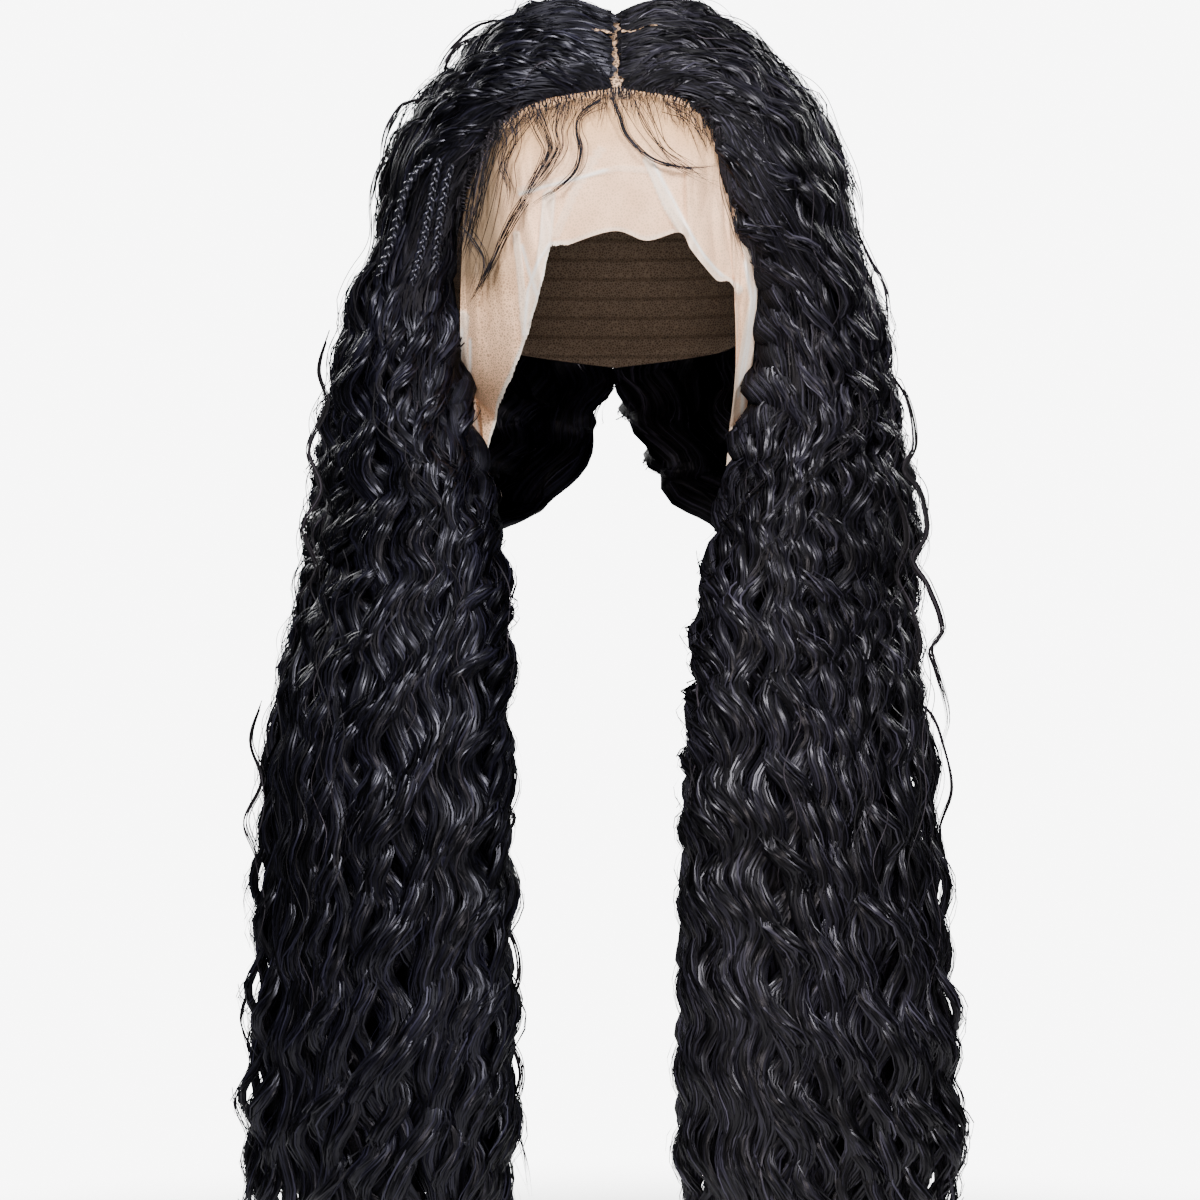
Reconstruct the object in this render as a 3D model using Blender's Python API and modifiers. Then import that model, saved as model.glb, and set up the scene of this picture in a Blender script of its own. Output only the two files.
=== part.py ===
"""Long wavy braid wig with a lace front, in its worn form.

Metres, +Z up. The face looks toward -Y and the wearer's right side is at -X,
which is the left of the picture, so the names left and right are the viewer's.
The origin is the inner crown of the cap, where the wig sits on a head.
"""
import math

import bmesh
import bpy
import numpy as np
from mathutils import Vector
from mathutils.bvhtree import BVHTree

MM = 0.001

# Head form that the cap is made on, a squarish ellipsoid
HEAD_HALF_WIDTH = 0.077
HEAD_HALF_DEPTH = 0.097
HEAD_ABOVE_EARS = 0.105
HEAD_BELOW_EARS = 0.085
HEAD_SQUARENESS = 2.4
LEAST_FRONT = 0.03          # keeps the front surface defined just below and beside the face

# Lace cap
CAP_WALL = 0.001
CAP_RINGS = 8
CAP_SPOKES = 36
# Columns: azimuth from the face in degrees, drop of the edge below the crown in mm
CAP_EDGE = [
    (0, 38.0), (18, 41.5), (27, 45.0), (36, 52.0), (41, 64.0), (46, 84.0), (52, 106.0),
    (62, 110.0), (75, 99.0), (90, 95.0), (107, 103.0), (125, 126.0), (148, 138.0), (180, 144.0),
]

# Hair over the cap: strands run from the parting to where they leave the head.
# alpha is the angle from the face over the crown to the nape, beta the angle off the parting.
PARTING_BETA = 1.1
ROOT_ALPHA_FRONT = 42.0
ROOT_ALPHA_BACK = 178.0
# Columns: place across the sheet from face edge 0 to back edge 1, alpha and beta in degrees
LEAVES_HEAD = {
    -1: [(0.0, 20.0, 45.0), (0.25, 78.0, 60.0), (0.5, 118.0, 64.0), (0.75, 158.0, 46.0), (1.0, 190.0, 8.0)],
    1: [(0.0, 10.0, 32.0), (0.25, 74.0, 58.0), (0.5, 118.0, 64.0), (0.75, 158.0, 46.0), (1.0, 190.0, 8.0)],
}
DOME_STATIONS = 5
ROOT_SWEEP_FACE = 4.0       # power by which strands at the hairline turn down late
ROOT_SWEEP_BACK = 2.0       # and the power for the rest of the head
ROOT_SWEEP_REACH = 0.3      # share of the sheet over which the one passes into the other
HAIR_LIFT = 0.0026          # hair clears the lace of the cap
CURTAIN_LIFT = 0.0012       # and a curtain, with its longer facets, by this much more
CURTAIN_LIFT_RISE = 0.4     # number of stations over which that comes in
ROOT_THICKNESS = 0.0065     # hair thickness near the parting
SIDE_THICKNESS_GAIN = 0.0145  # and what it gains where it leaves the head
PARTING_THICKNESS = 0.25    # share of the thickness at the parting itself
PARTING_REACH = 0.8         # station where the full thickness is reached
NAPE_EDGE_THINNING = 0.45   # how much of the back edge's thinning it has on the head
NAPE_LEAVES = 4.5           # station from which the rest of that thinning comes in
NAPE_LOOSE = 2.0            # number of stations it takes

# Hair hanging from the head to its tips, inner face, in mm.
# Columns: z at the face edge and at the back edge, then x and y of the left curtain's face edge
# and of the right one's, then x and y of the left curtain at a quarter, half, three quarters and
# the back edge, then the thickness, and how much nearer the middle the right curtain lies.
HANGING_ROWS = [
    (-118, -150, 69, -54, 61, -68, 81, -30, 83, 8, 68, 60, 2, 92, 33, 1),
    (-165, -190, 67, -52, 62, -61, 84, -34, 91, 0, 82, 44, 19, 78, 36, 4),
    (-212, -224, 56, -57, 48, -60, 79, -51, 94, -24, 95, 18, 58, 54, 35, 1),
    (-262, -260, 50, -70, 38, -70, 77, -72, 97, -50, 105, -16, 92, 22, 33, 9),
    (-312, -306, 50, -88, 35, -88, 77, -92, 104, -78, 115, -54, 119, -26, 30, 14),
    (-367, -364, 49, -95, 32, -95, 76, -100, 103, -91, 119, -73, 129, -50, 29, 14),
    (-427, -427, 48, -97, 31, -97, 75, -102, 103, -95, 121, -81, 132, -64, 29, 12),
    (-487, -487, 48, -96, 31, -96, 76, -101, 104, -94, 126, -82, 139, -68, 27, 12),
    (-545, -545, 54, -92, 36, -92, 79, -97, 106, -91, 126, -81, 136, -71, 8, 12),
]
NORMAL_ACROSS = 0.05        # half widths over which the sheet's outward direction is taken
NORMAL_DOWN = 0.6
OUTER_STEP = 0.006
EDGE_ROUNDING = 0.16        # share of the sheet over which its edges thin out
EDGE_THICKNESS = 0.10       # what is left of the thickness at the very edge
DOME_STEP_LENGTH = 0.020    # rough length of a strand from one station to the next on the head
HANGING_STEP_LENGTH = 0.054  # and below it

# Locks: ridges that run down the outer face, in waves
LOCKS = 12
CROWDING_HEAD = 1.6         # power that crowds the locks toward the face beside the head
CROWDING_TIPS = 1.15        # and lower down
CROWDING_EASES = 5.0        # station from which it eases off
CROWDING_EASING = 4.0       # number of stations it takes
LOCK_DEPTH_ROOT = 0.0025
LOCK_DEPTH_TIP = 0.0075
DEEPEST_LOCK = 0.4          # limit on that depth, as a share of the thickness
WAVE_LENGTH = 0.058
WAVE_SWING = 0.0042
WAVE_HEAVE = 0.25           # how far the waves stand in and out, as a share of their swing
WAVE_START = 3.0            # station after which the waves have their full swing
WAVE_LEAN = 1.6             # radians by which the waves of some locks run ahead of others
WAVE_LEAN_TURNS = 1.3
WAVE_LEAN_START = 0.7
STILL_EDGE = 0.02           # share of the sheet at each edge that has no waves beside the head
EDGE_WAVES_FROM = 6.0       # station where they start there
EDGE_WAVES_RISE = 1.5
CROWN_ROWS = 15
CURTAIN_ROWS = 35
SEAM_ABOVE = 0.016          # stations left free above and below the seam between hair on the head
SEAM_BELOW = 0.004          # and hair below it
TIP_ROWS_FROM = 0.86        # share of the curtain's rows above its separate tips
TIPS_FROM = 11.65           # station of that row
TIP_STATION = 12.15         # station where the tips part from each other
TIP_UNEVENNESS = 0.25       # stations by which some locks are shorter
TIP_RHYTHM = 2.4

# Plaits at the left temple, lying on the hair.
# Columns: place among the locks from face 0 to back 1, and station, at the top, middle and end
BRAIDS = [
    (0.104, 3.70, 0.156, 4.22, 0.190, 4.90),
    (0.086, 3.62, 0.068, 4.25, 0.078, 4.96),
    (0.040, 3.56, 0.026, 4.25, 0.018, 4.91),
]
BRAID_WIDTH = 0.0034
BRAID_THICKNESS = 0.0026
BRAID_PITCH = 0.0068        # from one crossing to the next
BRAID_SIDES = 6
BRAID_RINGS_PER_BEAD = 3
BRAID_CLEARANCE = 0.0004
BRAID_REACH = 0.02          # how far off the hair's surface is looked for
BRAID_FEELERS = (-0.6, -0.3, 0.0, 0.3, 0.6)  # places across its width where it is looked for
BRAID_STIFFNESS = 3         # number of points each way over which the plait bridges dips
BRAID_WAIST = 0.80          # width at a crossing, as a share of the full width
BRAID_SWAY = 0.16           # swing from side to side, as a share of the full width
BRAID_END = 0.55            # size of the end sections
BRAID_POINTS = 60

# Lace front, hanging from the front edge of the cap.
# Columns: azimuth at the cap in degrees, then in mm x and z halfway down and at the cut edge,
# and how far the lace stands off the brow halfway and at the cut edge.
LACE_WALL = 0.0010
LACE_ROWS = 10
LACE_COLUMNS = 35
LACE_LIFT = 0.0004
LACE_DROP = 0.0007          # the lace starts just below the edge of the cap
LACE_FOLDS = [
    (-46.5, -66.0, -136, -65.5, -189, 9.0, 12.0),
    (-46.0, -62.0, -150, -52.0, -224, 7.0, 10.0),
    (-45.0, -59.5, -140, -56.5, -194, 10.0, 13.0),
    (-43.5, -55.5, -120, -50.5, -170, 5.0, 8.0),
    (-40.0, -50.0, -106, -43.5, -157, 5.0, 9.0),
    (-36.0, -44.0, -94, -37.0, -141, 3.0, 6.0),
    (-30.0, -38.0, -82, -31.0, -121, 5.0, 9.0),
    (-25.0, -32.0, -75, -27.5, -105, 1.5, 2.5),
    (-17.0, -22.0, -72, -20.0, -104, 0.4, 0.8),
    (0.0, -0.5, -68, -1.0, -98.5, 0.4, 0.8),
    (9.0, 12.5, -70, 12.5, -102.5, 0.4, 0.8),
    (18.0, 25.0, -71, 26.0, -99.0, 0.8, 1.2),
    (22.0, 31.0, -76, 31.0, -107, 4.0, 6.0),
    (26.0, 39.0, -84, 41.0, -118, 1.5, 3.0),
    (31.0, 46.0, -92, 50.0, -124, 1.5, 4.0),
    (36.0, 50.0, -112, 50.0, -184, 3.0, 12.0),
    (40.0, 53.5, -130, 44.0, -227, 5.0, 10.0),
    (43.0, 58.5, -134, 54.5, -186, 2.5, 11.0),
]

HAIR_COLOUR = (0.012, 0.012, 0.016, 1.0)
LACE_COLOUR = (0.82, 0.70, 0.60, 1.0)
CAP_COLOUR = (0.45, 0.33, 0.25, 1.0)


def clear_scene():
    for item in list(bpy.data.objects):
        bpy.data.objects.remove(item, do_unlink=True)


def make_material(name, colour, roughness):
    material = bpy.data.materials.new(name)
    material.use_nodes = True
    shader = material.node_tree.nodes["Principled BSDF"]
    shader.inputs["Base Color"].default_value = colour
    shader.inputs["Roughness"].default_value = roughness
    shader.inputs["Metallic"].default_value = 0.0
    return material


def smooth_step(value):
    value = np.clip(value, 0.0, 1.0)
    return value * value * (3.0 - 2.0 * value)


def spline(knots, points, at):
    """Catmull-Rom curve through points, one for each knot, read at the places in at."""
    knots = np.asarray(knots, dtype=float)
    points = np.asarray(points, dtype=float)
    at = np.asarray(at, dtype=float)
    slopes = np.empty_like(points)
    slopes[1:-1] = (points[2:] - points[:-2]) / (knots[2:] - knots[:-2])[:, None]
    slopes[0] = (points[1] - points[0]) / (knots[1] - knots[0])
    slopes[-1] = (points[-1] - points[-2]) / (knots[-1] - knots[-2])
    index = np.clip(np.searchsorted(knots, at, side="right") - 1, 0, len(knots) - 2)
    span = (knots[index + 1] - knots[index])[:, None]
    f = (at - knots[index])[:, None] / span
    start, end = points[index], points[index + 1]
    first, last = slopes[index] * span, slopes[index + 1] * span
    return (
        (2 * f**3 - 3 * f**2 + 1) * start
        + (f**3 - 2 * f**2 + f) * first
        + (3 * f**2 - 2 * f**3) * end
        + (f**3 - f**2) * last
    )


def head_reach(direction):
    """Distance from the head's middle to its skin along unit directions."""
    half_height = np.where(direction[..., 2] > 0, HEAD_ABOVE_EARS, HEAD_BELOW_EARS)
    total = (
        (np.abs(direction[..., 0]) / HEAD_HALF_WIDTH) ** HEAD_SQUARENESS
        + (np.abs(direction[..., 1]) / HEAD_HALF_DEPTH) ** HEAD_SQUARENESS
        + (np.abs(direction[..., 2]) / half_height) ** HEAD_SQUARENESS
    )
    return total ** (-1.0 / HEAD_SQUARENESS)


def point_on_head(side, alpha, beta, lift):
    """Point over the head at alpha and beta in degrees; side is -1 for left and 1 for right."""
    alpha = np.radians(alpha)
    beta = np.radians(beta)
    direction = np.stack(
        [side * np.sin(beta), -np.cos(beta) * np.cos(alpha), np.cos(beta) * np.sin(alpha)], axis=-1
    )
    reach = head_reach(direction) + lift
    return direction * reach[..., None] + np.array([0.0, 0.0, -HEAD_ABOVE_EARS])


def push_off_head(points, lift):
    """Move points that lie under the skin of the head form out to lift above it."""
    centre = np.array([0.0, 0.0, -HEAD_ABOVE_EARS])
    offset = points - centre
    distance = np.linalg.norm(offset, axis=-1, keepdims=True)
    direction = offset / distance
    least = head_reach(direction)[..., None] + lift
    return centre + direction * np.maximum(distance, least)


def head_front_y(x, z):
    """Y of the brow or cheek at x and z, which is negative."""
    half_height = HEAD_ABOVE_EARS if z > -HEAD_ABOVE_EARS else HEAD_BELOW_EARS
    used = (abs(x) / HEAD_HALF_WIDTH) ** HEAD_SQUARENESS
    used += (abs(z + HEAD_ABOVE_EARS) / half_height) ** HEAD_SQUARENESS
    return -HEAD_HALF_DEPTH * max(1.0 - used, LEAST_FRONT) ** (1.0 / HEAD_SQUARENESS)


def hair_stations(side, across):
    """Inner face of one side's hair: a point for each station and each place across."""
    leaves = np.array(LEAVES_HEAD[side])
    end = spline(leaves[:, 0], leaves[:, 1:], across)
    root_alpha = ROOT_ALPHA_FRONT + (ROOT_ALPHA_BACK - ROOT_ALPHA_FRONT) * across
    blend = np.clip(across / ROOT_SWEEP_REACH, 0.0, 1.0)
    sweep = ROOT_SWEEP_FACE + (ROOT_SWEEP_BACK - ROOT_SWEEP_FACE) * blend
    stations = []
    for step in np.linspace(0.0, 1.0, DOME_STATIONS):
        alpha = root_alpha + (end[:, 0] - root_alpha) * step**sweep
        beta = PARTING_BETA + (end[:, 1] - PARTING_BETA) * step
        stations.append(point_on_head(side, alpha, beta, HAIR_LIFT))
    for row in HANGING_ROWS:
        z_face, z_back = row[:2]
        shift = row[15] if side > 0 else 0.0
        keys = [row[4:6] if side > 0 else row[2:4]]
        keys += [(row[i] - shift, row[i + 1]) for i in (6, 8, 10, 12)]
        plan = spline(np.linspace(0.0, 1.0, 5), keys, across)
        height = z_face + (z_back - z_face) * across
        stations.append(np.stack([side * plan[:, 0], plan[:, 1], height], axis=-1) * MM)
    return np.array(stations)


def hair_thickness(across, station):
    """Thickness of the hair, which thins out at the parting and at the sheet's two edges."""
    over_head = ROOT_THICKNESS + SIDE_THICKNESS_GAIN * (station / (DOME_STATIONS - 1.0)) ** 2
    rows = [ROOT_THICKNESS] * DOME_STATIONS + [row[14] * MM for row in HANGING_ROWS]
    hanging = np.interp(station, range(len(rows)), rows)
    blend = smooth_step(station - (DOME_STATIONS - 1.0))
    full = over_head * (1.0 - blend) + hanging * blend
    full = full * (PARTING_THICKNESS + (1.0 - PARTING_THICKNESS) * smooth_step(station / PARTING_REACH))
    face = np.sqrt(1.0 - (1.0 - np.clip(across / EDGE_ROUNDING, 0.0, 1.0)) ** 2)
    back = np.sqrt(1.0 - (1.0 - np.clip((1.0 - across) / EDGE_ROUNDING, 0.0, 1.0)) ** 2)
    loose = smooth_step((station - NAPE_LEAVES) / NAPE_LOOSE)
    back = 1.0 - (1.0 - back) * (NAPE_EDGE_THINNING + (1.0 - NAPE_EDGE_THINNING) * loose)
    return full * (EDGE_THICKNESS + (1.0 - EDGE_THICKNESS) * face * back)


def inner_face(side, across, station):
    """Points on the inner face of one side's hair, clear of the cap, for like-shaped grids."""
    places = across.reshape(-1)
    down = station.reshape(-1)
    columns = hair_stations(side, places)
    knots = np.arange(columns.shape[0], dtype=float)
    points = np.array([spline(knots, columns[:, i], down[i : i + 1])[0] for i in range(places.size)])
    off_head = smooth_step((down - (DOME_STATIONS - 1.0)) / CURTAIN_LIFT_RISE)
    lift = HAIR_LIFT + CURTAIN_LIFT * off_head
    return push_off_head(points, lift[:, None]).reshape(across.shape + (3,))


def hair_surface(side, across, station):
    """Inner point, outward direction and thickness on grids of places across and stations."""
    last = DOME_STATIONS + len(HANGING_ROWS) - 1.0
    face, back = np.clip(across - NORMAL_ACROSS, 0.0, 1.0), np.clip(across + NORMAL_ACROSS, 0.0, 1.0)
    above, below = np.clip(station - NORMAL_DOWN, 0.0, last), np.clip(station + NORMAL_DOWN, 0.0, last)
    to_back = inner_face(side, back, station) - inner_face(side, face, station)
    downward = inner_face(side, across, below) - inner_face(side, across, above)
    normal = np.cross(to_back, downward) * -side
    normal /= np.linalg.norm(normal, axis=-1, keepdims=True)
    return inner_face(side, across, station), normal, hair_thickness(across, station)


def outer_face(side, across, station):
    inner, normal, thickness = hair_surface(side, across, station)
    return inner + normal * thickness[..., None]


def outer_frame(side, across, station):
    """Smooth outer face: its points, and the unit directions across it and out of it."""
    face, back = np.clip(across - OUTER_STEP, 0.0, 1.0), np.clip(across + OUTER_STEP, 0.0, 1.0)
    to_back = outer_face(side, back, station) - outer_face(side, face, station)
    downward = outer_face(side, across, station + OUTER_STEP) - outer_face(side, across, station)
    out = np.cross(to_back, downward) * -side
    to_back /= np.linalg.norm(to_back, axis=-1, keepdims=True)
    out /= np.linalg.norm(out, axis=-1, keepdims=True)
    return outer_face(side, across, station), to_back, out


def wave_phase(across, station):
    """Phase of the waves, the same in both solids at the seam between them."""
    on_head = np.minimum(station, DOME_STATIONS - 1.0)
    length = DOME_STEP_LENGTH * on_head + HANGING_STEP_LENGTH * (station - on_head)
    lean = WAVE_LEAN * np.sin(2.0 * math.pi * WAVE_LEAN_TURNS * across + WAVE_LEAN_START)
    return 2.0 * math.pi * length / WAVE_LENGTH + lean


def locks_outer(side, across, station):
    """Inner face, and the outer face with its lock ridges and waves.

    The grids have one column for each ridge or valley.
    """
    inner, _, thickness = hair_surface(side, across, station)
    smooth, to_back, out = outer_frame(side, across, station)
    valley = 1 - (np.arange(across.shape[1]) % 2)[None, :]
    fall = np.clip(station / (DOME_STATIONS + len(HANGING_ROWS) - 1.0), 0.0, 1.0)
    depth = (LOCK_DEPTH_ROOT + (LOCK_DEPTH_TIP - LOCK_DEPTH_ROOT) * fall) * valley
    depth = np.minimum(depth, DEEPEST_LOCK * thickness)
    phase = wave_phase(across, station)
    swing = WAVE_SWING * smooth_step(station / WAVE_START)
    heave = WAVE_HEAVE * swing * np.cos(phase) * np.clip(thickness / ROOT_THICKNESS - 0.5, 0.0, 1.0)
    at_edge = (across < STILL_EDGE) | (across > 1.0 - STILL_EDGE)
    hold = np.where(at_edge, smooth_step((station - EDGE_WAVES_FROM) / EDGE_WAVES_RISE), 1.0)
    across_wave = swing * hold * np.sin(phase)
    outer = smooth + out * (heave - depth)[..., None] + to_back * across_wave[..., None]
    return inner, outer


def add_object(name, mesh, material, collection):
    item = bpy.data.objects.new(name, mesh)
    mesh.materials.append(material)
    mesh.shade_smooth()
    collection.objects.link(item)
    return item


def hair_solid(name, side, across, station, material, collection):
    """Closed lock-ridged sheet: a fine outer face, an inner face with half the rows, and rims."""
    inner, outer = locks_outer(side, across, station)
    rows, columns = across.shape
    mesh = bmesh.new()
    outer_vert = [[mesh.verts.new(outer[r, c]) for c in range(columns)] for r in range(rows)]
    inner_vert = [[mesh.verts.new(inner[r, c]) for c in range(columns)] for r in range(0, rows, 2)]
    coarse = len(inner_vert)

    def face(*corners):
        mesh.faces.new(corners)

    for r in range(rows - 1):
        for c in range(columns - 1):
            face(outer_vert[r][c], outer_vert[r + 1][c], outer_vert[r + 1][c + 1], outer_vert[r][c + 1])
    for r in range(coarse - 1):
        for c in range(columns - 1):
            face(inner_vert[r][c], inner_vert[r][c + 1], inner_vert[r + 1][c + 1], inner_vert[r + 1][c])
    for c in range(columns - 1):
        face(outer_vert[0][c], outer_vert[0][c + 1], inner_vert[0][c + 1], inner_vert[0][c])
        face(outer_vert[-1][c + 1], outer_vert[-1][c], inner_vert[-1][c], inner_vert[-1][c + 1])
    for r in range(coarse - 1):
        for c, flip in ((0, False), (columns - 1, True)):
            top, middle, low = (outer_vert[2 * r + k][c] for k in range(3))
            near, far = inner_vert[r][c], inner_vert[r + 1][c]
            for corners in ((top, near, middle), (middle, near, far), (middle, far, low)):
                face(*(reversed(corners) if flip else corners))
    bmesh.ops.triangulate(mesh, faces=mesh.faces[:])
    bmesh.ops.recalc_face_normals(mesh, faces=mesh.faces[:])
    data = bpy.data.meshes.new(name)
    mesh.to_mesh(data)
    mesh.free()
    return add_object(name, data, material, collection)


def lock_columns(station):
    """Places across the sheet: a ridge in the middle of each lock and a valley between locks.

    Beside the face the sheet's rounded edge fills much of the view, so the locks crowd there.
    """
    easing = smooth_step((station - CROWDING_EASES) / CROWDING_EASING)
    crowding = CROWDING_HEAD + (CROWDING_TIPS - CROWDING_HEAD) * easing
    return np.linspace(0.0, 1.0, 2 * LOCKS + 1)[None, :] ** crowding


def make_crown_hair(name, side, material, collection):
    last = DOME_STATIONS - 1.0 - SEAM_ABOVE
    station = np.linspace(0.0, last, CROWN_ROWS)[:, None]
    across = lock_columns(station)
    return hair_solid(name, side, across, station + 0.0 * across, material, collection)


def make_curtain(name, side, material, collection):
    share = np.linspace(0.0, 1.0, CURTAIN_ROWS)[:, None]
    columns = np.arange(2 * LOCKS + 1)
    last = DOME_STATIONS + len(HANGING_ROWS) - 1.0
    tip = last - TIP_UNEVENNESS * (1 + np.sin(columns * TIP_RHYTHM + side))
    tip = np.where(columns % 2 == 1, tip, TIP_STATION)[None, :]
    first = DOME_STATIONS - 1.0 + SEAM_BELOW
    above = first + (TIPS_FROM - first) * share / TIP_ROWS_FROM
    below = TIPS_FROM + (tip - TIPS_FROM) * (share - TIP_ROWS_FROM) / (1.0 - TIP_ROWS_FROM)
    station = np.where(share < TIP_ROWS_FROM, above + 0.0 * tip, below)
    return hair_solid(name, side, lock_columns(station), station, material, collection)


def cap_point(azimuth, share):
    """Point on the head form below the crown, at a share of the way to the edge of the cap."""
    edge_azimuth = [row[0] for row in CAP_EDGE]
    edge_drop = [row[1] for row in CAP_EDGE]
    fall = np.interp(abs(azimuth), edge_azimuth, edge_drop) * MM * share
    level = HEAD_ABOVE_EARS - fall
    half_height = HEAD_ABOVE_EARS if level > 0 else HEAD_BELOW_EARS
    room = 1.0 - (abs(level) / half_height) ** HEAD_SQUARENESS
    east, north = math.sin(math.radians(azimuth)), math.cos(math.radians(azimuth))
    spread = (abs(east) / HEAD_HALF_WIDTH) ** HEAD_SQUARENESS
    spread += (abs(north) / HEAD_HALF_DEPTH) ** HEAD_SQUARENESS
    radius = (room / spread) ** (1.0 / HEAD_SQUARENESS)
    return radius * east, -radius * north, -fall


def cap_edge(azimuth):
    """Point on the straight edge of the cap between two spokes."""
    place = (azimuth + 180.0) * CAP_SPOKES / 360.0
    before = math.floor(place)
    first, second = (
        np.array(cap_point(-180.0 + 360.0 * k / CAP_SPOKES, 1.0)) for k in (before, before + 1)
    )
    return first + (second - first) * (place - before)


def make_cap(material, collection):
    """Dome of lace, open below: an open net of rings on the head form, given its wall."""
    spokes = [-180.0 + 360.0 * k / CAP_SPOKES for k in range(CAP_SPOKES)]
    mesh = bmesh.new()
    crown = mesh.verts.new((0.0, 0.0, 0.0))
    rings = []
    for ring in range(1, CAP_RINGS + 1):
        share = (ring / CAP_RINGS) ** HEAD_SQUARENESS
        rings.append([mesh.verts.new(cap_point(azimuth, share)) for azimuth in spokes])
    for k in range(CAP_SPOKES):
        after = (k + 1) % CAP_SPOKES
        mesh.faces.new((crown, rings[0][k], rings[0][after]))
        for inner, outer in zip(rings, rings[1:]):
            mesh.faces.new((inner[k], outer[k], outer[after], inner[after]))
    bmesh.ops.recalc_face_normals(mesh, faces=mesh.faces[:])
    data = bpy.data.meshes.new("lace_cap")
    mesh.to_mesh(data)
    mesh.free()
    cap = add_object("lace_cap", data, material, collection)
    wall = cap.modifiers.new("Wall", "SOLIDIFY")
    wall.thickness = CAP_WALL
    wall.offset = 1.0
    return cap


def make_lace_front(material, collection):
    """Lace sheet from the hairline to its cut edge, an open net of folds given its wall."""
    table = np.array(LACE_FOLDS)
    places = np.linspace(0.0, len(table) - 1.0, LACE_COLUMNS)
    columns = np.stack([np.interp(places, range(len(table)), entry) for entry in table.T], axis=1)
    mesh = bmesh.new()
    grid = []
    for column in columns:
        mid_x, mid_z, low_x, low_z, mid_off, low_off = column[1:] * MM
        top_x, _, top_z = cap_edge(column[0])
        top = (top_x, top_z - LACE_DROP, LACE_LIFT)
        keys = [top, (mid_x, mid_z, mid_off), (low_x, low_z, low_off)]
        line = spline([0.0, 0.5, 1.0], keys, np.linspace(0.0, 1.0, LACE_ROWS))
        verts = []
        for x, z, off in line:
            verts.append(mesh.verts.new((x, head_front_y(x, z) - max(off, LACE_LIFT), z)))
        grid.append(verts)
    for left, right in zip(grid, grid[1:]):
        for row in range(LACE_ROWS - 1):
            mesh.faces.new((left[row], left[row + 1], right[row + 1], right[row]))
    bmesh.ops.recalc_face_normals(mesh, faces=mesh.faces[:])
    data = bpy.data.meshes.new("lace_front")
    mesh.to_mesh(data)
    mesh.free()
    front = add_object("lace_front", data, material, collection)
    wall = front.modifiers.new("Wall", "SOLIDIFY")
    wall.thickness = LACE_WALL
    wall.offset = 1.0
    wall.use_even_offset = True
    return front


def hair_height(trees, point, normal, sideways):
    """Height of the hair's own surface over a point, seen from outside under a plait's width."""
    highest = -BRAID_REACH
    for share in BRAID_FEELERS:
        start = Vector(point + sideways * share * BRAID_WIDTH + normal * BRAID_REACH)
        for tree in trees:
            found, _, _, distance = tree.ray_cast(start, Vector(-normal), 2.0 * BRAID_REACH)
            if found is not None:
                highest = max(highest, BRAID_REACH - distance)
    return highest


def seat_on_hair(trees, centre, normal, sideways):
    """Lower or lift a plait's line so that it rests just clear of the hair under it."""
    count = len(centre)
    heights = [hair_height(trees, centre[i], normal[i], sideways[i]) for i in range(count)]
    near = range(-BRAID_STIFFNESS, BRAID_STIFFNESS + 1)
    rest = [max(heights[min(max(i + k, 0), count - 1)] for k in near) for i in range(count)]
    rest = [sum(rest[min(max(i + k, 0), count - 1)] for k in near) / len(near) for i in range(count)]
    lift = np.array(rest) + BRAID_CLEARANCE + 0.5 * BRAID_THICKNESS
    return centre + normal * lift[:, None]


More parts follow.
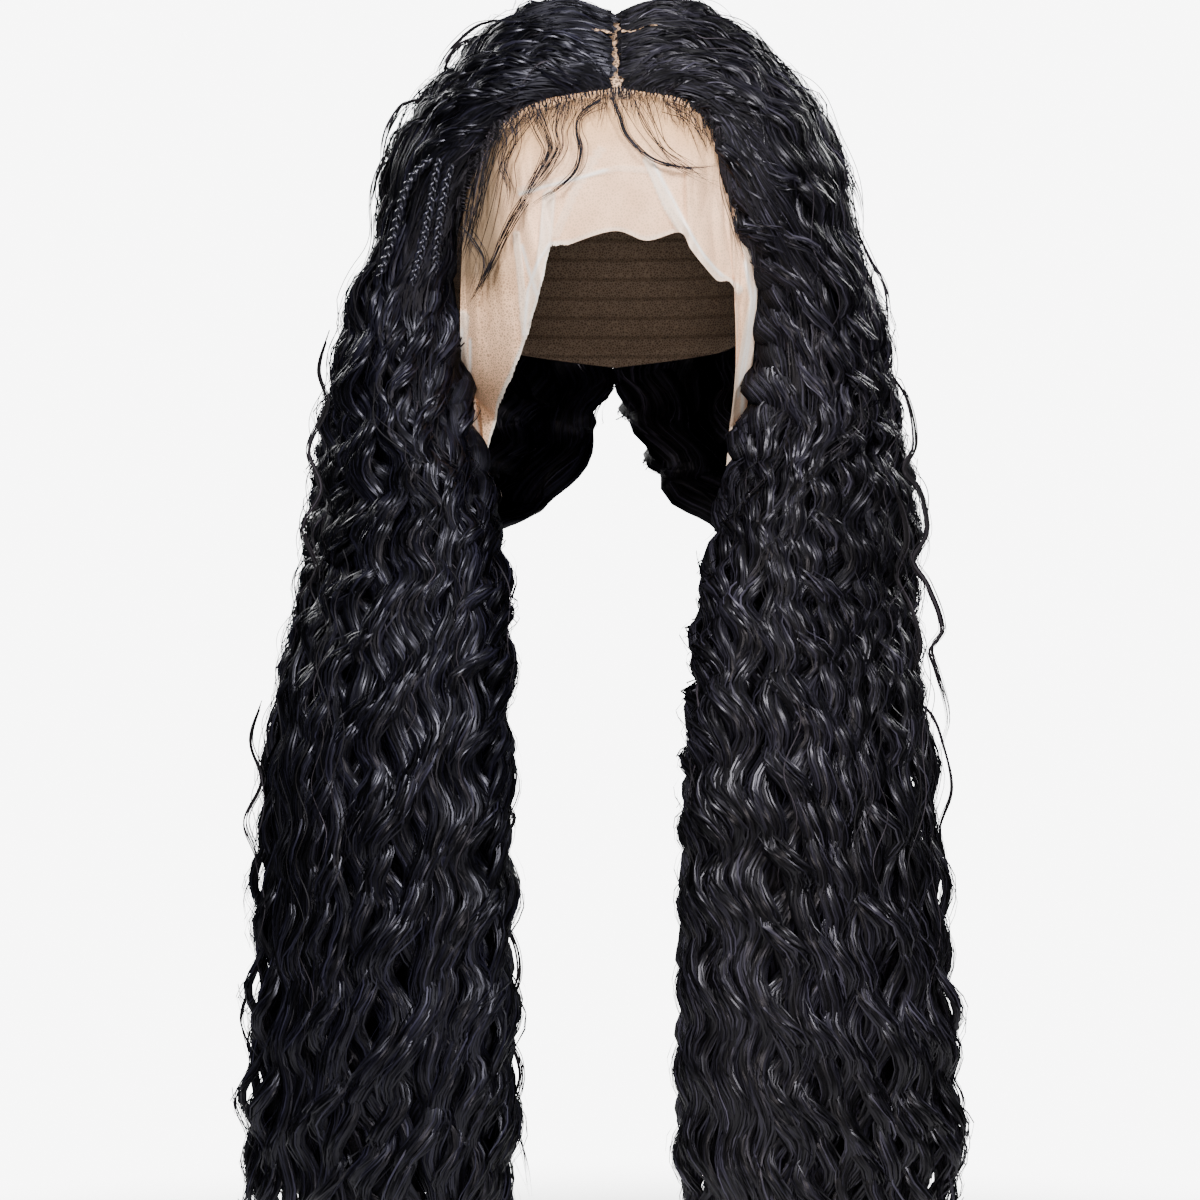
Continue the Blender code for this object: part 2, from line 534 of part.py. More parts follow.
def make_braid(name, row, hair, material, collection):
    """Plait: one solid whose sections swell left and right in turn, as crossing strands do."""
    trees = []
    for item in hair:
        corners = [vertex.co for vertex in item.data.vertices]
        trees.append(BVHTree.FromPolygons(corners, [face.vertices for face in item.data.polygons]))
    knots = [0.0, 0.5, 1.0]
    keys = [(row[0], row[1]), (row[2], row[3]), (row[4], row[5])]
    fine = spline(knots, keys, np.linspace(0.0, 1.0, BRAID_POINTS))
    across, station = fine[:, :1] ** CROWDING_HEAD, fine[:, 1:]
    smooth, to_back, out = outer_frame(-1, across, station)
    normal = out[:, 0]
    centre = seat_on_hair(trees, smooth[:, 0], normal, to_back[:, 0])
    length = np.concatenate([[0.0], np.cumsum(np.linalg.norm(np.diff(centre, axis=0), axis=1))])
    beads = int(round(length[-1] / BRAID_PITCH))
    at = np.linspace(0.0, length[-1], BRAID_RINGS_PER_BEAD * beads + 1)
    centre = np.stack([np.interp(at, length, centre[:, k]) for k in range(3)], axis=1)
    normal = np.stack([np.interp(at, length, normal[:, k]) for k in range(3)], axis=1)
    along = np.gradient(centre, axis=0)
    along /= np.linalg.norm(along, axis=1)[:, None]
    sideways = np.cross(along, normal)
    sideways /= np.linalg.norm(sideways, axis=1)[:, None]
    mesh = bmesh.new()
    rings = []
    for i in range(len(at)):
        turn = math.pi * at[i] / BRAID_PITCH
        waist = BRAID_WAIST + (1.0 - BRAID_WAIST) * abs(math.sin(turn))
        taper = BRAID_END if i in (0, len(at) - 1) else 1.0
        middle = centre[i] + sideways[i] * BRAID_SWAY * BRAID_WIDTH * math.sin(turn)
        ring = []
        for k in range(BRAID_SIDES):
            angle = 2.0 * math.pi * k / BRAID_SIDES
            wide = 0.5 * BRAID_WIDTH * waist * taper * math.cos(angle)
            deep = 0.5 * BRAID_THICKNESS * taper * math.sin(angle)
            ring.append(mesh.verts.new(middle + sideways[i] * wide + normal[i] * deep))
        rings.append(ring)
    for upper, lower in zip(rings, rings[1:]):
        for k in range(BRAID_SIDES):
            after = (k + 1) % BRAID_SIDES
            mesh.faces.new((upper[k], upper[after], lower[after], lower[k]))
    mesh.faces.new(rings[0])
    mesh.faces.new(rings[-1])
    bmesh.ops.recalc_face_normals(mesh, faces=mesh.faces[:])
    data = bpy.data.meshes.new(name)
    mesh.to_mesh(data)
    mesh.free()
    return add_object(name, data, material, collection)


def main():
    clear_scene()
    wig = bpy.data.collections.new("braid_wig")
    bpy.context.scene.collection.children.link(wig)
    make_cap(make_material("cap_lace", CAP_COLOUR, 0.8), wig)
    make_lace_front(make_material("front_lace", LACE_COLOUR, 0.7), wig)
    hair = {}
    for side, word in ((-1, "left"), (1, "right")):
        crown_material = make_material("crown_" + word, HAIR_COLOUR, 0.35)
        curtain_material = make_material("curtain_" + word, HAIR_COLOUR, 0.35)
        hair[word] = [
            make_crown_hair("crown_hair_" + word, side, crown_material, wig),
            make_curtain("curtain_" + word, side, curtain_material, wig),
        ]
    for number, row in enumerate(BRAIDS, start=1):
        name = "braid_left_" + str(number)
        make_braid(name, row, hair["left"], make_material(name, HAIR_COLOUR, 0.4), wig)


main()
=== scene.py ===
"""Looks of the long wavy braid wig: hair in locks and strands, plaits, lace and roots."""
import math

import bpy
import numpy as np
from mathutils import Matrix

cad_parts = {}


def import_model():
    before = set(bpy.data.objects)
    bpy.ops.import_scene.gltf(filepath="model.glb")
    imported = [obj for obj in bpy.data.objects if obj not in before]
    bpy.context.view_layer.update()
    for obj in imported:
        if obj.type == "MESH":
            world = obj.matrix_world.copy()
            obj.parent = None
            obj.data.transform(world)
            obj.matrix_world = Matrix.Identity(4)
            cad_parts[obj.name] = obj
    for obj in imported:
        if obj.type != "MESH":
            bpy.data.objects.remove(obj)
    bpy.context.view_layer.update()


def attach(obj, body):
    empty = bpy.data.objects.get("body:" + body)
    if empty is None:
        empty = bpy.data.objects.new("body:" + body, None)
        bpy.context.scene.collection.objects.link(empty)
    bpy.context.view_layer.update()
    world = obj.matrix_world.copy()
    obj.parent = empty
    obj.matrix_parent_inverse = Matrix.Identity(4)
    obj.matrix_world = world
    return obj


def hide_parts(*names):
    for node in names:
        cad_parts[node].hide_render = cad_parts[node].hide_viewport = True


MM = 0.001
SEED = 41
SIDES = {-1: "left", 1: "right"}

# Camera of the picture, in metres
CAMERA_PLACE = (-0.007, -1.77, -0.251)
CAMERA_LENS = 121.4
PICTURE_MIDDLE = 600.0      # pixels from the picture's edges to its middle
PIXEL = 0.00042             # metres to a pixel of the picture at the hairline's depth
HAIRLINE_DEPTH = -0.070
CAMERA_DISTANCE = 1.7
FLOOR = -0.575
FLOOR_RADIUS = 0.62
WORLD_LIGHT = 0.10
WORLD_SEEN = 8.0
LIGHTS_AIM = (0.0, 0.0, -0.22)
# Name, place, size, watts and colour
LIGHTS = [
    ("key", (-0.75, -1.35, 1.2), (0.50, 0.40), 80.0, (0.99, 0.99, 1.0)),
    ("fill", (1.2, -1.3, 0.75), (0.45, 0.50), 54.0, (0.99, 0.99, 1.0)),
    ("front", (0.0, -1.9, -0.3), (0.5, 0.4), 15.0, (1.0, 0.93, 0.86)),
    ("top", (0.1, 0.1, 1.2), (0.7, 0.5), 4.0, (1.0, 1.0, 1.0)),
    ("back_left", (-1.0, 1.3, 0.7), (0.6, 0.6), 16.0, (1.0, 1.0, 1.0)),
    ("back_right", (1.0, 1.3, 0.6), (0.6, 0.6), 16.0, (1.0, 1.0, 1.0)),
]

# Head form and hair sheets, as in the solids
HEAD_HALF_WIDTH = 0.077
HEAD_HALF_DEPTH = 0.097
HEAD_ABOVE_EARS = 0.105
HEAD_BELOW_EARS = 0.085
HEAD_SQUARENESS = 2.4
HEAD_CENTRE = np.array([0.0, 0.0, -HEAD_ABOVE_EARS])
# Edge of the cap: degrees round from the front, and drop from the crown in mm
CAP_EDGE = [
    (0, 38.0), (18, 41.5), (27, 45.0), (36, 52.0), (41, 64.0), (46, 84.0), (52, 106.0),
    (62, 110.0), (75, 99.0), (90, 95.0), (107, 103.0), (125, 126.0), (148, 138.0), (180, 144.0),
]
PARTING_BETA = 1.1
PARTING_END = 103.0         # degrees over the head from the brow
PARTING_HALF = 0.0042
HEAD_ABOVE_PARTING = 0.1    # radius of the head across the parting
ROOT_ALPHA_FRONT = 42.0
ROOT_ALPHA_BACK = 178.0
# Where the hair leaves the head: place across the sheet from face edge 0 to back edge 1, then alpha,
# the angle from the face over the crown, and beta, the angle off the parting, in degrees
LEAVES_HEAD = {
    -1: [(0.0, 20.0, 45.0), (0.25, 78.0, 60.0), (0.5, 118.0, 64.0), (0.75, 158.0, 46.0), (1.0, 190.0, 8.0)],
    1: [(0.0, 10.0, 32.0), (0.25, 74.0, 58.0), (0.5, 118.0, 64.0), (0.75, 158.0, 46.0), (1.0, 190.0, 8.0)],
}
DOME_STATIONS = 5
LAST_ON_HEAD = DOME_STATIONS - 1.0
ROOT_SWEEP_FACE = 4.0       # power by which strands at the hairline turn down late
ROOT_SWEEP_BACK = 2.0       # and the power for the rest of the head
ROOT_SWEEP_REACH = 0.3      # share of the sheet over which the one passes into the other
HAIR_LIFT = 0.0026          # hair clears the lace of the cap
CURTAIN_LIFT = 0.0012       # and a curtain by this much more
CURTAIN_LIFT_RISE = 0.4     # number of stations over which that comes in
ROOT_THICKNESS = 0.0065     # hair thickness near the parting
SIDE_THICKNESS_GAIN = 0.0145  # and what it gains where it leaves the head
PARTING_THICKNESS = 0.25    # share of the thickness at the parting itself
PARTING_REACH = 0.8         # station where the full thickness is reached
NAPE_EDGE_THINNING = 0.45   # how much of the back edge's thinning it has on the head
NAPE_LEAVES = 4.5           # station from which the rest of that thinning comes in
NAPE_LOOSE = 2.0            # number of stations it takes
EDGE_ROUNDING = 0.16        # share of the sheet over which its edges thin out
EDGE_THICKNESS = 0.10       # what is left of the thickness at the very edge
STEP_ON_HEAD = 0.031        # length of a strand from one station to the next on the head
STEP_BELOW = 0.054          # and below it
SHEET_COLUMNS = 161
SHEET_ROWS = 313
# Hanging hair, in mm: z at the face edge and at the back edge, x and y of the left curtain's face edge
# and of the right one's, x and y of the left curtain at a quarter, half, three quarters and the back
# edge, the thickness, and how much nearer the middle the right curtain lies
HANGING_ROWS = [
    (-118, -150, 69, -54, 61, -68, 81, -30, 83, 8, 68, 60, 2, 92, 33, 1),
    (-165, -190, 67, -52, 62, -61, 84, -34, 91, 0, 82, 44, 19, 78, 36, 4),
    (-212, -224, 56, -57, 48, -60, 79, -51, 94, -24, 95, 18, 58, 54, 35, 1),
    (-262, -260, 50, -70, 38, -70, 77, -72, 97, -50, 105, -16, 92, 22, 33, 9),
    (-312, -306, 50, -88, 35, -88, 77, -92, 104, -78, 115, -54, 119, -26, 30, 14),
    (-367, -364, 49, -95, 32, -95, 76, -100, 103, -91, 119, -73, 129, -50, 29, 14),
    (-427, -427, 48, -97, 31, -97, 75, -102, 103, -95, 121, -81, 132, -64, 29, 12),
    (-487, -487, 48, -96, 31, -96, 76, -101, 104, -94, 126, -82, 139, -68, 27, 12),
    (-545, -545, 54, -92, 36, -92, 79, -97, 106, -91, 126, -81, 136, -71, 8, 12),
]
LAST_STATION = DOME_STATIONS + len(HANGING_ROWS) - 1.0
CROWDING_HEAD = 1.6         # power that crowds the locks toward the face beside the head
CROWDING_TIPS = 1.15        # and lower down
CROWDING_EASES = 5.0        # station from which it eases off
CROWDING_EASING = 4.0       # number of stations it takes
# Lace: degrees round the cap, in mm x and z halfway down and at the cut edge, and how far it stands
# off the brow at both
LACE_FOLDS = [
    (-46.5, -66.0, -136, -65.5, -189, 9.0, 12.0),
    (-46.0, -62.0, -150, -52.0, -224, 7.0, 10.0),
    (-45.0, -59.5, -140, -56.5, -194, 10.0, 13.0),
    (-43.5, -55.5, -120, -50.5, -170, 5.0, 8.0),
    (-40.0, -50.0, -106, -43.5, -157, 5.0, 9.0),
    (-36.0, -44.0, -94, -37.0, -141, 3.0, 6.0),
    (-30.0, -38.0, -82, -31.0, -121, 5.0, 9.0),
    (-25.0, -32.0, -75, -27.5, -105, 1.5, 2.5),
    (-17.0, -22.0, -72, -20.0, -104, 0.4, 0.8),
    (0.0, -0.5, -68, -1.0, -98.5, 0.4, 0.8),
    (9.0, 12.5, -70, 12.5, -102.5, 0.4, 0.8),
    (18.0, 25.0, -71, 26.0, -99.0, 0.8, 1.2),
    (22.0, 31.0, -76, 31.0, -107, 4.0, 6.0),
    (26.0, 39.0, -84, 41.0, -118, 1.5, 3.0),
    (31.0, 46.0, -92, 50.0, -124, 1.5, 4.0),
    (36.0, 50.0, -112, 50.0, -184, 3.0, 12.0),
    (40.0, 53.5, -130, 44.0, -227, 5.0, 10.0),
    (43.0, 58.5, -134, 54.5, -186, 2.5, 11.0),
]
# Braids: place among the locks from face 0 to back 1, and station, at the top, middle and end
BRAIDS = [
    (0.104, 3.70, 0.156, 4.22, 0.190, 4.90),
    (0.086, 3.62, 0.068, 4.25, 0.078, 4.96),
    (0.040, 3.56, 0.026, 4.25, 0.018, 4.91),
]

# Locks: bundles of hair, each a flat wavy body with strands over it
OUTER_LOCKS = 28
MIDDLE_LOCKS = 14
INNER_LOCKS = 16
POINTS_ON_HEAD = 25         # points along a lock over the head, and below it
POINTS_BELOW = 100
WAVE_LENGTH = 0.034
WAVE_SWING = 0.0036
WAVE_HEAVE = 0.0031
STRANDS_OUTER = 26
STRANDS_MIDDLE = 2
STRANDS_INNER = 4
STRANDS_AT_FACE = 52
LOCK_WIDTH = 0.80           # half width of a lock as a share of the spacing, and its limits
LOCK_HALF_WIDTH = (0.0016, 0.0085)
LOCK_DEPTH = 0.40           # half depth as a share of the half width, and its limits
LOCK_HALF_DEPTH = (0.0009, 0.0030)
DEEPEST_LOCK = 0.40         # limit on that depth, as a share of the hair's thickness
LOOSE_SHARE = 0.14          # share of the strands that stray from their lock
CROWN_WAVES = {-1: 0.85, 1: 0.58}   # strength of the waves over the head on each side
STRAND_WIDTH = 0.00028
STRANDS_INSIDE = 16         # more strands on the inner side, where it shows through the face opening
SPAN_INSIDE = slice(22, 84)
CLEAR_OF_HEAD = 0.0015      # least distance of all hair from the head form
CROSS_PARTING = 0.235       # place of the cross parting on each side's roots
CROSS_GAP = 0.016           # and how far the locks stand away from it
SECTIONS = 17.0             # root sections that the locks gather in near the parting
SECTION_PULL = 0.62         # share of the way that they gather
SECTION_PUFF = 0.0018       # height of the sections over the hair

# Fine hairs: how many, and half widths in metres
ROOT_HAIRS = 820
PARTING_HAIRS = 900
SHORT_HAIRS = 620
LOOSE_HAIRS = 90
ROOT_WIDTH = 0.00026
TICK_WIDTH = 0.00027
FRINGE_WIDTH = 0.00013
SHORT_WIDTH = 0.00008
WISP_WIDTH = 0.00022
LOOSE_WIDTH = 0.00019
TICK_STEP = 3.9             # pixels between the knots of the hairline

# Plaits, in metres
PLAIT_LIFT = 0.0038
PLAIT_LENGTH = 0.0062       # half a turn of one bundle
PLAIT_SWING = 0.00125
PLAIT_RISE = 0.00062
PLAIT_BUNDLE = 0.00105

LACE_CELLS = 840.0          # cells to a metre of the lace's net, and of the cap's
FINE_CELLS = 900.0
BROW_CELL = 6.0             # pixels to a cell of the surface that fine hairs lie on
CAP_ROW = 0.009             # from one sewn row inside the cap to the next

# The lace: rows and columns of its points, its colours, and the sizes of its folds and creases
LACE_ROWS = 96
LACE_COLUMNS = 240
LACE_BROW = np.array([0.88, 0.50, 0.25])        # colour near the hairline, and its change at the temple
LACE_TEMPLE = np.array([-0.62, -0.33, -0.15])
LACE_CREAM = np.array([1.00, 0.62, 0.39])       # colour further down
LACE_THICK = np.array([0.99, 0.88, 0.77])       # colour of folds and of the cut edge
LACE_BRIGHT = np.array([1.0, 0.97, 0.93])       # colour of creases
RIDGE_HEIGHT = 0.0020
CREASE_HEIGHT = 0.0004
CREASE_WIDTH = 1.6          # in pixels of the picture

# Hair materials: name, dark and light colour, stretch of the streaks, roughness, relief in metres,
# level and tint of the gloss
DARK, BLUE, NEUTRAL = (0.0004, 0.0004, 0.0006), (0.86, 0.84, 1.0), (0.94, 0.90, 1.0)
# One hair on both sides: the right side's light colour is painted over twice the left's, painted light for
# the brighter light on that side.
LEFT_LIGHT, RIGHT_LIGHT = (0.0022, 0.0021, 0.0032), (0.0052, 0.0048, 0.0058)
BODY, STRAND = (15.0, 15.0, 1.3), (1.0, 1.0, 30.0)
HAIR_LOOKS = {
    "body_left": ("hair_left", DARK, LEFT_LIGHT, BODY, 0.36, 0.0007, 0.13, BLUE),
    "strand_left": ("strands_left", DARK, LEFT_LIGHT, STRAND, 0.33, 0.0, 0.20, BLUE),
    "body_right": ("hair_right", DARK, RIGHT_LIGHT, BODY, 0.36, 0.0007, 0.13, NEUTRAL),
    "strand_right": ("strands_right", DARK, RIGHT_LIGHT, STRAND, 0.33, 0.0, 0.20, NEUTRAL),
    "braid": (
        "plaits", (0.0012, 0.0012, 0.0018), (0.0035, 0.0036, 0.0055), (5.0, 5.0, 1.0), 0.30, 0.0, 0.46, BLUE
    ),
    "fine": ("fine_hair", DARK, (0.006, 0.005, 0.005), STRAND, 0.55, 0.0, 0.12, NEUTRAL),
    "backing": (
        "backing", (0.0004, 0.0004, 0.0004), (0.001, 0.001, 0.001), (1.0, 1.0, 1.0), 0.9, 0.001, 0.04,
        NEUTRAL,
    ),
}

# Folds of the lace in pixels of the picture: half width, strength, line
LACE_RIDGES = [
    (5.0, 1.0, [(648, 160), (657, 180), (668, 206), (684, 232), (697, 252), (712, 272), (738, 290)]),
    (8.0, 0.9, [(752, 270), (758, 300), (752, 330), (746, 360), (738, 400), (733, 440), (730, 500),
                (722, 540)]),
    (4.0, 0.7, [(733, 150), (737, 200), (741, 230), (750, 262)]),
    (6.5, 0.9, [(549, 196), (545, 245), (538, 290), (526, 318)]),
    (3.5, 0.8, [(516, 234), (521, 280), (525, 338), (523, 361)]),
    (4.0, 0.5, [(549, 240), (535, 275), (528, 300)]),
    (7.0, 0.9, [(462, 318), (460, 350), (464, 390), (468, 430), (474, 470), (482, 500), (492, 532)]),
    (3.0, 0.35, [(520, 190), (560, 180), (620, 168), (660, 172)]),
    (4.0, 0.4, [(600, 150), (575, 190), (556, 235)]),
]

# Creases between the folds, in pixels of the picture
LACE_CREASES = [
    [(745, 262), (752, 300), (747, 340), (741, 372), (738, 396)],
    [(757, 280), (751, 330), (743, 380), (741, 440), (733, 490), (726, 520)],
    [(462, 330), (460, 370), (465, 410), (470, 450), (479, 500), (488, 528)],
    [(470, 340), (470, 380), (474, 410), (480, 440)],
    [(550, 244), (538, 262), (528, 290), (524, 335)],
    [(522, 246), (530, 275), (539, 300)],
    [(655, 166), (672, 198), (690, 232), (704, 256), (722, 276)],
    [(732, 150), (735, 172), (739, 200), (744, 230), (752, 258)],
    [(520, 194), (548, 186), (580, 178), (606, 170)],
]

# Hairline and fringe in pixels of the picture. Fringe: line, hairs, spread at the root and at the end
HAIRLINE = [
    (462, 212), (465, 190), (471, 170), (483, 147), (498, 124), (527, 107), (561, 98), (592, 92), (618, 89),
    (646, 90), (670, 95), (696, 108), (713, 123), (727, 140), (734, 160), (738, 190), (740, 215),
]
FRINGE = [
    ([(533, 104), (541, 126), (549, 147), (546, 158), (529, 190), (514, 217), (506, 232)], 15, 5.0, 1.2),
    ([(605, 96), (579, 115), (576, 132), (580, 147), (576, 170), (558, 188), (535, 202), (514, 220)],
     15, 3.4, 1.2),
    ([(566, 99), (558, 129), (560, 147), (549, 167), (526, 199), (508, 226)], 13, 7.0, 1.4),
    ([(504, 117), (511, 141), (505, 164), (511, 190), (504, 226)], 12, 6.0, 2.0),
    ([(526, 198), (514, 217), (502, 240), (494, 258), (482, 281), (473, 299), (463, 317)], 17, 2.6, 1.4),
    ([(612, 96), (620, 117), (625, 132), (637, 147), (655, 160), (681, 167), (710, 166), (736, 160)],
     15, 2.6, 1.2),
    ([(640, 96), (652, 125), (668, 150), (700, 172), (736, 188)], 9, 8.0, 3.0),
    ([(668, 98), (690, 112), (706, 138), (716, 168)], 10, 8.0, 5.0),
    ([(736, 200), (742, 212), (752, 230), (757, 260), (762, 290), (768, 312)], 7, 1.6, 1.6),
    ([(458, 226), (474, 243), (482, 262), (474, 292), (462, 310)], 9, 4.0, 3.0),
    ([(500, 122), (487, 160), (478, 200), (466, 246), (452, 292)], 18, 7.0, 9.0),
    ([(478, 150), (468, 190), (461, 230), (450, 280)], 20, 5.0, 6.0),
    ([(530, 104), (500, 145), (484, 190), (474, 240)], 12, 8.0, 8.0),
    ([(734, 150), (736, 190), (744, 230), (760, 280)], 30, 5.0, 5.0),
    ([(715, 118), (728, 150), (733, 190), (742, 230)], 22, 5.0, 5.0),
]

# Loose strands beside the curtains and over the crown, in pixels of the picture: depth in metres,
# hairs, spread in pixels, line
WISPS = [
    (-0.055, 9, 2.0, [(890, 372), (908, 400), (915, 446), (905, 470), (919, 489), (927, 532), (912, 560),
                      (926, 584), (942, 630), (930, 650), (936, 668), (949, 719), (940, 760), (956, 813)]),
    (-0.060, 6, 1.8, [(880, 470), (902, 505), (908, 540), (897, 575), (912, 610), (920, 650), (905, 690),
                      (925, 740), (930, 790)]),
    (-0.060, 5, 1.5, [(893, 690), (930, 712), (944, 745), (952, 790), (940, 830), (950, 880), (945, 930)]),
    (-0.100, 5, 1.6, [(498, 790), (514, 820), (498, 845), (511, 869), (494, 900), (516, 945), (519, 979),
                      (502, 1020), (520, 1060), (520, 1093), (505, 1130), (531, 1200)]),
    (-0.100, 4, 1.6, [(505, 1030), (520, 1075), (512, 1110), (523, 1150), (531, 1200)]),
    (-0.100, 5, 1.6, [(712, 800), (694, 843), (704, 880), (686, 915), (700, 950), (686, 989), (697, 1025),
                      (683, 1063), (695, 1100), (683, 1132), (690, 1165), (673, 1198)]),
    (-0.060, 5, 1.5, [(330, 330), (318, 370), (326, 405), (309, 450), (322, 490), (304, 530), (316, 570),
                      (292, 610), (305, 650)]),
    (-0.070, 4, 1.6, [(262, 700), (250, 740), (262, 780), (246, 820), (258, 860), (244, 900), (256, 950)]),
    (-0.070, 4, 1.6, [(252, 980), (240, 1020), (252, 1060), (236, 1100), (248, 1140), (238, 1190)]),
    (-0.070, 4, 1.6, [(944, 980), (956, 1020), (946, 1060), (962, 1100), (950, 1140), (966, 1190)]),
    (-0.030, 6, 1.6, [(482, 34), (462, 42), (449, 58), (443, 78), (447, 96)]),
    (-0.030, 5, 1.8, [(500, 20), (478, 24), (456, 44), (440, 66), (430, 92)]),
    (-0.030, 5, 1.8, [(425, 98), (404, 104), (392, 122), (384, 146), (380, 172)]),
    (-0.030, 4, 1.4, [(408, 128), (394, 132), (384, 160), (372, 196), (366, 220)]),
    (-0.020, 5, 1.6, [(520, 14), (542, 3), (560, 2), (576, 12), (588, 22)]),
    (-0.020, 5, 1.6, [(655, 18), (674, 9), (698, 14), (722, 30), (744, 44)]),
    (-0.030, 4, 1.6, [(822, 128), (838, 150), (846, 172), (860, 200), (866, 232)]),
    (-0.030, 4, 1.6, [(858, 232), (872, 262), (884, 285), (890, 320), (888, 350)]),
]
WISP_HAIRS = 2              # hairs drawn for each one counted in the table


def smooth_step(value):
    """0 below 0 and 1 above 1, with a soft rise between."""
    value = np.clip(value, 0.0, 1.0)
    return value * value * (3.0 - 2.0 * value)


def spline(knots, points, at):
    """Smooth curve through the points at the knots, read at other places."""
    knots = np.asarray(knots, dtype=float)
    points = np.asarray(points, dtype=float)
    at = np.asarray(at, dtype=float)
    slopes = np.empty_like(points)
    slopes[1:-1] = (points[2:] - points[:-2]) / (knots[2:] - knots[:-2])[:, None]
    slopes[0] = (points[1] - points[0]) / (knots[1] - knots[0])
    slopes[-1] = (points[-1] - points[-2]) / (knots[-1] - knots[-2])
    index = np.clip(np.searchsorted(knots, at, side="right") - 1, 0, len(knots) - 2)
    span = (knots[index + 1] - knots[index])[:, None]
    f = (at - knots[index])[:, None] / span
    start, end = points[index], points[index + 1]
    first, last = slopes[index] * span, slopes[index + 1] * span
    return (
        (2 * f**3 - 3 * f**2 + 1) * start
        + (f**3 - 2 * f**2 + f) * first
        + (3 * f**2 - 2 * f**3) * end
        + (f**3 - f**2) * last
    )


def unit(vectors):
    """The vectors at length 1."""
    return vectors / np.maximum(np.linalg.norm(vectors, axis=-1, keepdims=True), 1e-12)


def path_length(points):
    """Length along a row of points from the first to each of them."""
    return np.concatenate([[0.0], np.cumsum(np.linalg.norm(np.diff(points, axis=0), axis=1))])


def head_reach(direction):
    """Distance from the head's centre to its surface."""
    half_height = np.where(direction[..., 2] > 0, HEAD_ABOVE_EARS, HEAD_BELOW_EARS)
    total = (
        (np.abs(direction[..., 0]) / HEAD_HALF_WIDTH) ** HEAD_SQUARENESS
        + (np.abs(direction[..., 1]) / HEAD_HALF_DEPTH) ** HEAD_SQUARENESS
        + (np.abs(direction[..., 2]) / half_height) ** HEAD_SQUARENESS
    )
    return total ** (-1.0 / HEAD_SQUARENESS)


def point_on_head(side, alpha, beta, lift):
    """Points over the head: alpha goes from the brow over to the back, beta down to one side."""
    alpha = np.radians(alpha)
    beta = np.radians(beta)
    direction = np.stack(
        [side * np.sin(beta), -np.cos(beta) * np.cos(alpha), np.cos(beta) * np.sin(alpha)], axis=-1
    )
    reach = head_reach(direction) + lift
    return direction * reach[..., None] + HEAD_CENTRE


def push_off_head(points, lift):
    """The points, with those too near the head moved out of it."""
    offset = points - HEAD_CENTRE
    distance = np.linalg.norm(offset, axis=-1, keepdims=True)
    direction = offset / distance
    least = head_reach(direction)[..., None] + lift
    return HEAD_CENTRE + direction * np.maximum(distance, least)


def head_front_y(x, z):
    """Where the front of the head stands behind places in the picture's plane."""
    half_height = np.where(z > -HEAD_ABOVE_EARS, HEAD_ABOVE_EARS, HEAD_BELOW_EARS)
    used = (np.abs(x) / HEAD_HALF_WIDTH) ** HEAD_SQUARENESS
    used = used + (np.abs(z + HEAD_ABOVE_EARS) / half_height) ** HEAD_SQUARENESS
    return -HEAD_HALF_DEPTH * np.maximum(1.0 - used, 0.03) ** (1.0 / HEAD_SQUARENESS)


def hair_stations(side, across):
    """Inner face of one side's hair, row by row from the parting to the tips."""
    leaves = np.array(LEAVES_HEAD[side])
    end = spline(leaves[:, 0], leaves[:, 1:], across)
    root_alpha = ROOT_ALPHA_FRONT + (ROOT_ALPHA_BACK - ROOT_ALPHA_FRONT) * across
    share = np.clip(across / ROOT_SWEEP_REACH, 0.0, 1.0)
    sweep = ROOT_SWEEP_FACE + (ROOT_SWEEP_BACK - ROOT_SWEEP_FACE) * share
    stations = []
    for step in np.linspace(0.0, 1.0, DOME_STATIONS):
        alpha = root_alpha + (end[:, 0] - root_alpha) * step**sweep
        beta = PARTING_BETA + (end[:, 1] - PARTING_BETA) * step
        stations.append(point_on_head(side, alpha, beta, HAIR_LIFT))
    for row in HANGING_ROWS:
        z_face, z_back = row[:2]
        shift = row[15] if side > 0 else 0.0
        keys = [row[4:6] if side > 0 else row[2:4]]
        keys += [(row[i] - shift, row[i + 1]) for i in (6, 8, 10, 12)]
        plan = spline(np.linspace(0.0, 1.0, 5), keys, across)
        height = z_face + (z_back - z_face) * across
        stations.append(np.stack([side * plan[:, 0], plan[:, 1], height], axis=-1) * MM)
    return np.array(stations)


def hair_thickness(across, station):
    """Thickness of the hair, thinner at its roots and its two edges."""
    over_head = ROOT_THICKNESS + SIDE_THICKNESS_GAIN * (station / LAST_ON_HEAD) ** 2
    rows = [ROOT_THICKNESS] * DOME_STATIONS + [row[14] * MM for row in HANGING_ROWS]
    hanging = np.interp(station, range(len(rows)), rows)
    blend = smooth_step(station - LAST_ON_HEAD)
    full = over_head * (1.0 - blend) + hanging * blend
    full = full * (PARTING_THICKNESS + (1.0 - PARTING_THICKNESS) * smooth_step(station / PARTING_REACH))
    face, back = (np.clip(inward / EDGE_ROUNDING, 0.0, 1.0) for inward in (across, 1.0 - across))
    face, back = np.sqrt(1.0 - (1.0 - face) ** 2), np.sqrt(1.0 - (1.0 - back) ** 2)
    loose = smooth_step((station - NAPE_LEAVES) / NAPE_LOOSE)
    back = 1.0 - (1.0 - back) * (NAPE_EDGE_THINNING + (1.0 - NAPE_EDGE_THINNING) * loose)
    return full * (EDGE_THICKNESS + (1.0 - EDGE_THICKNESS) * face * back)


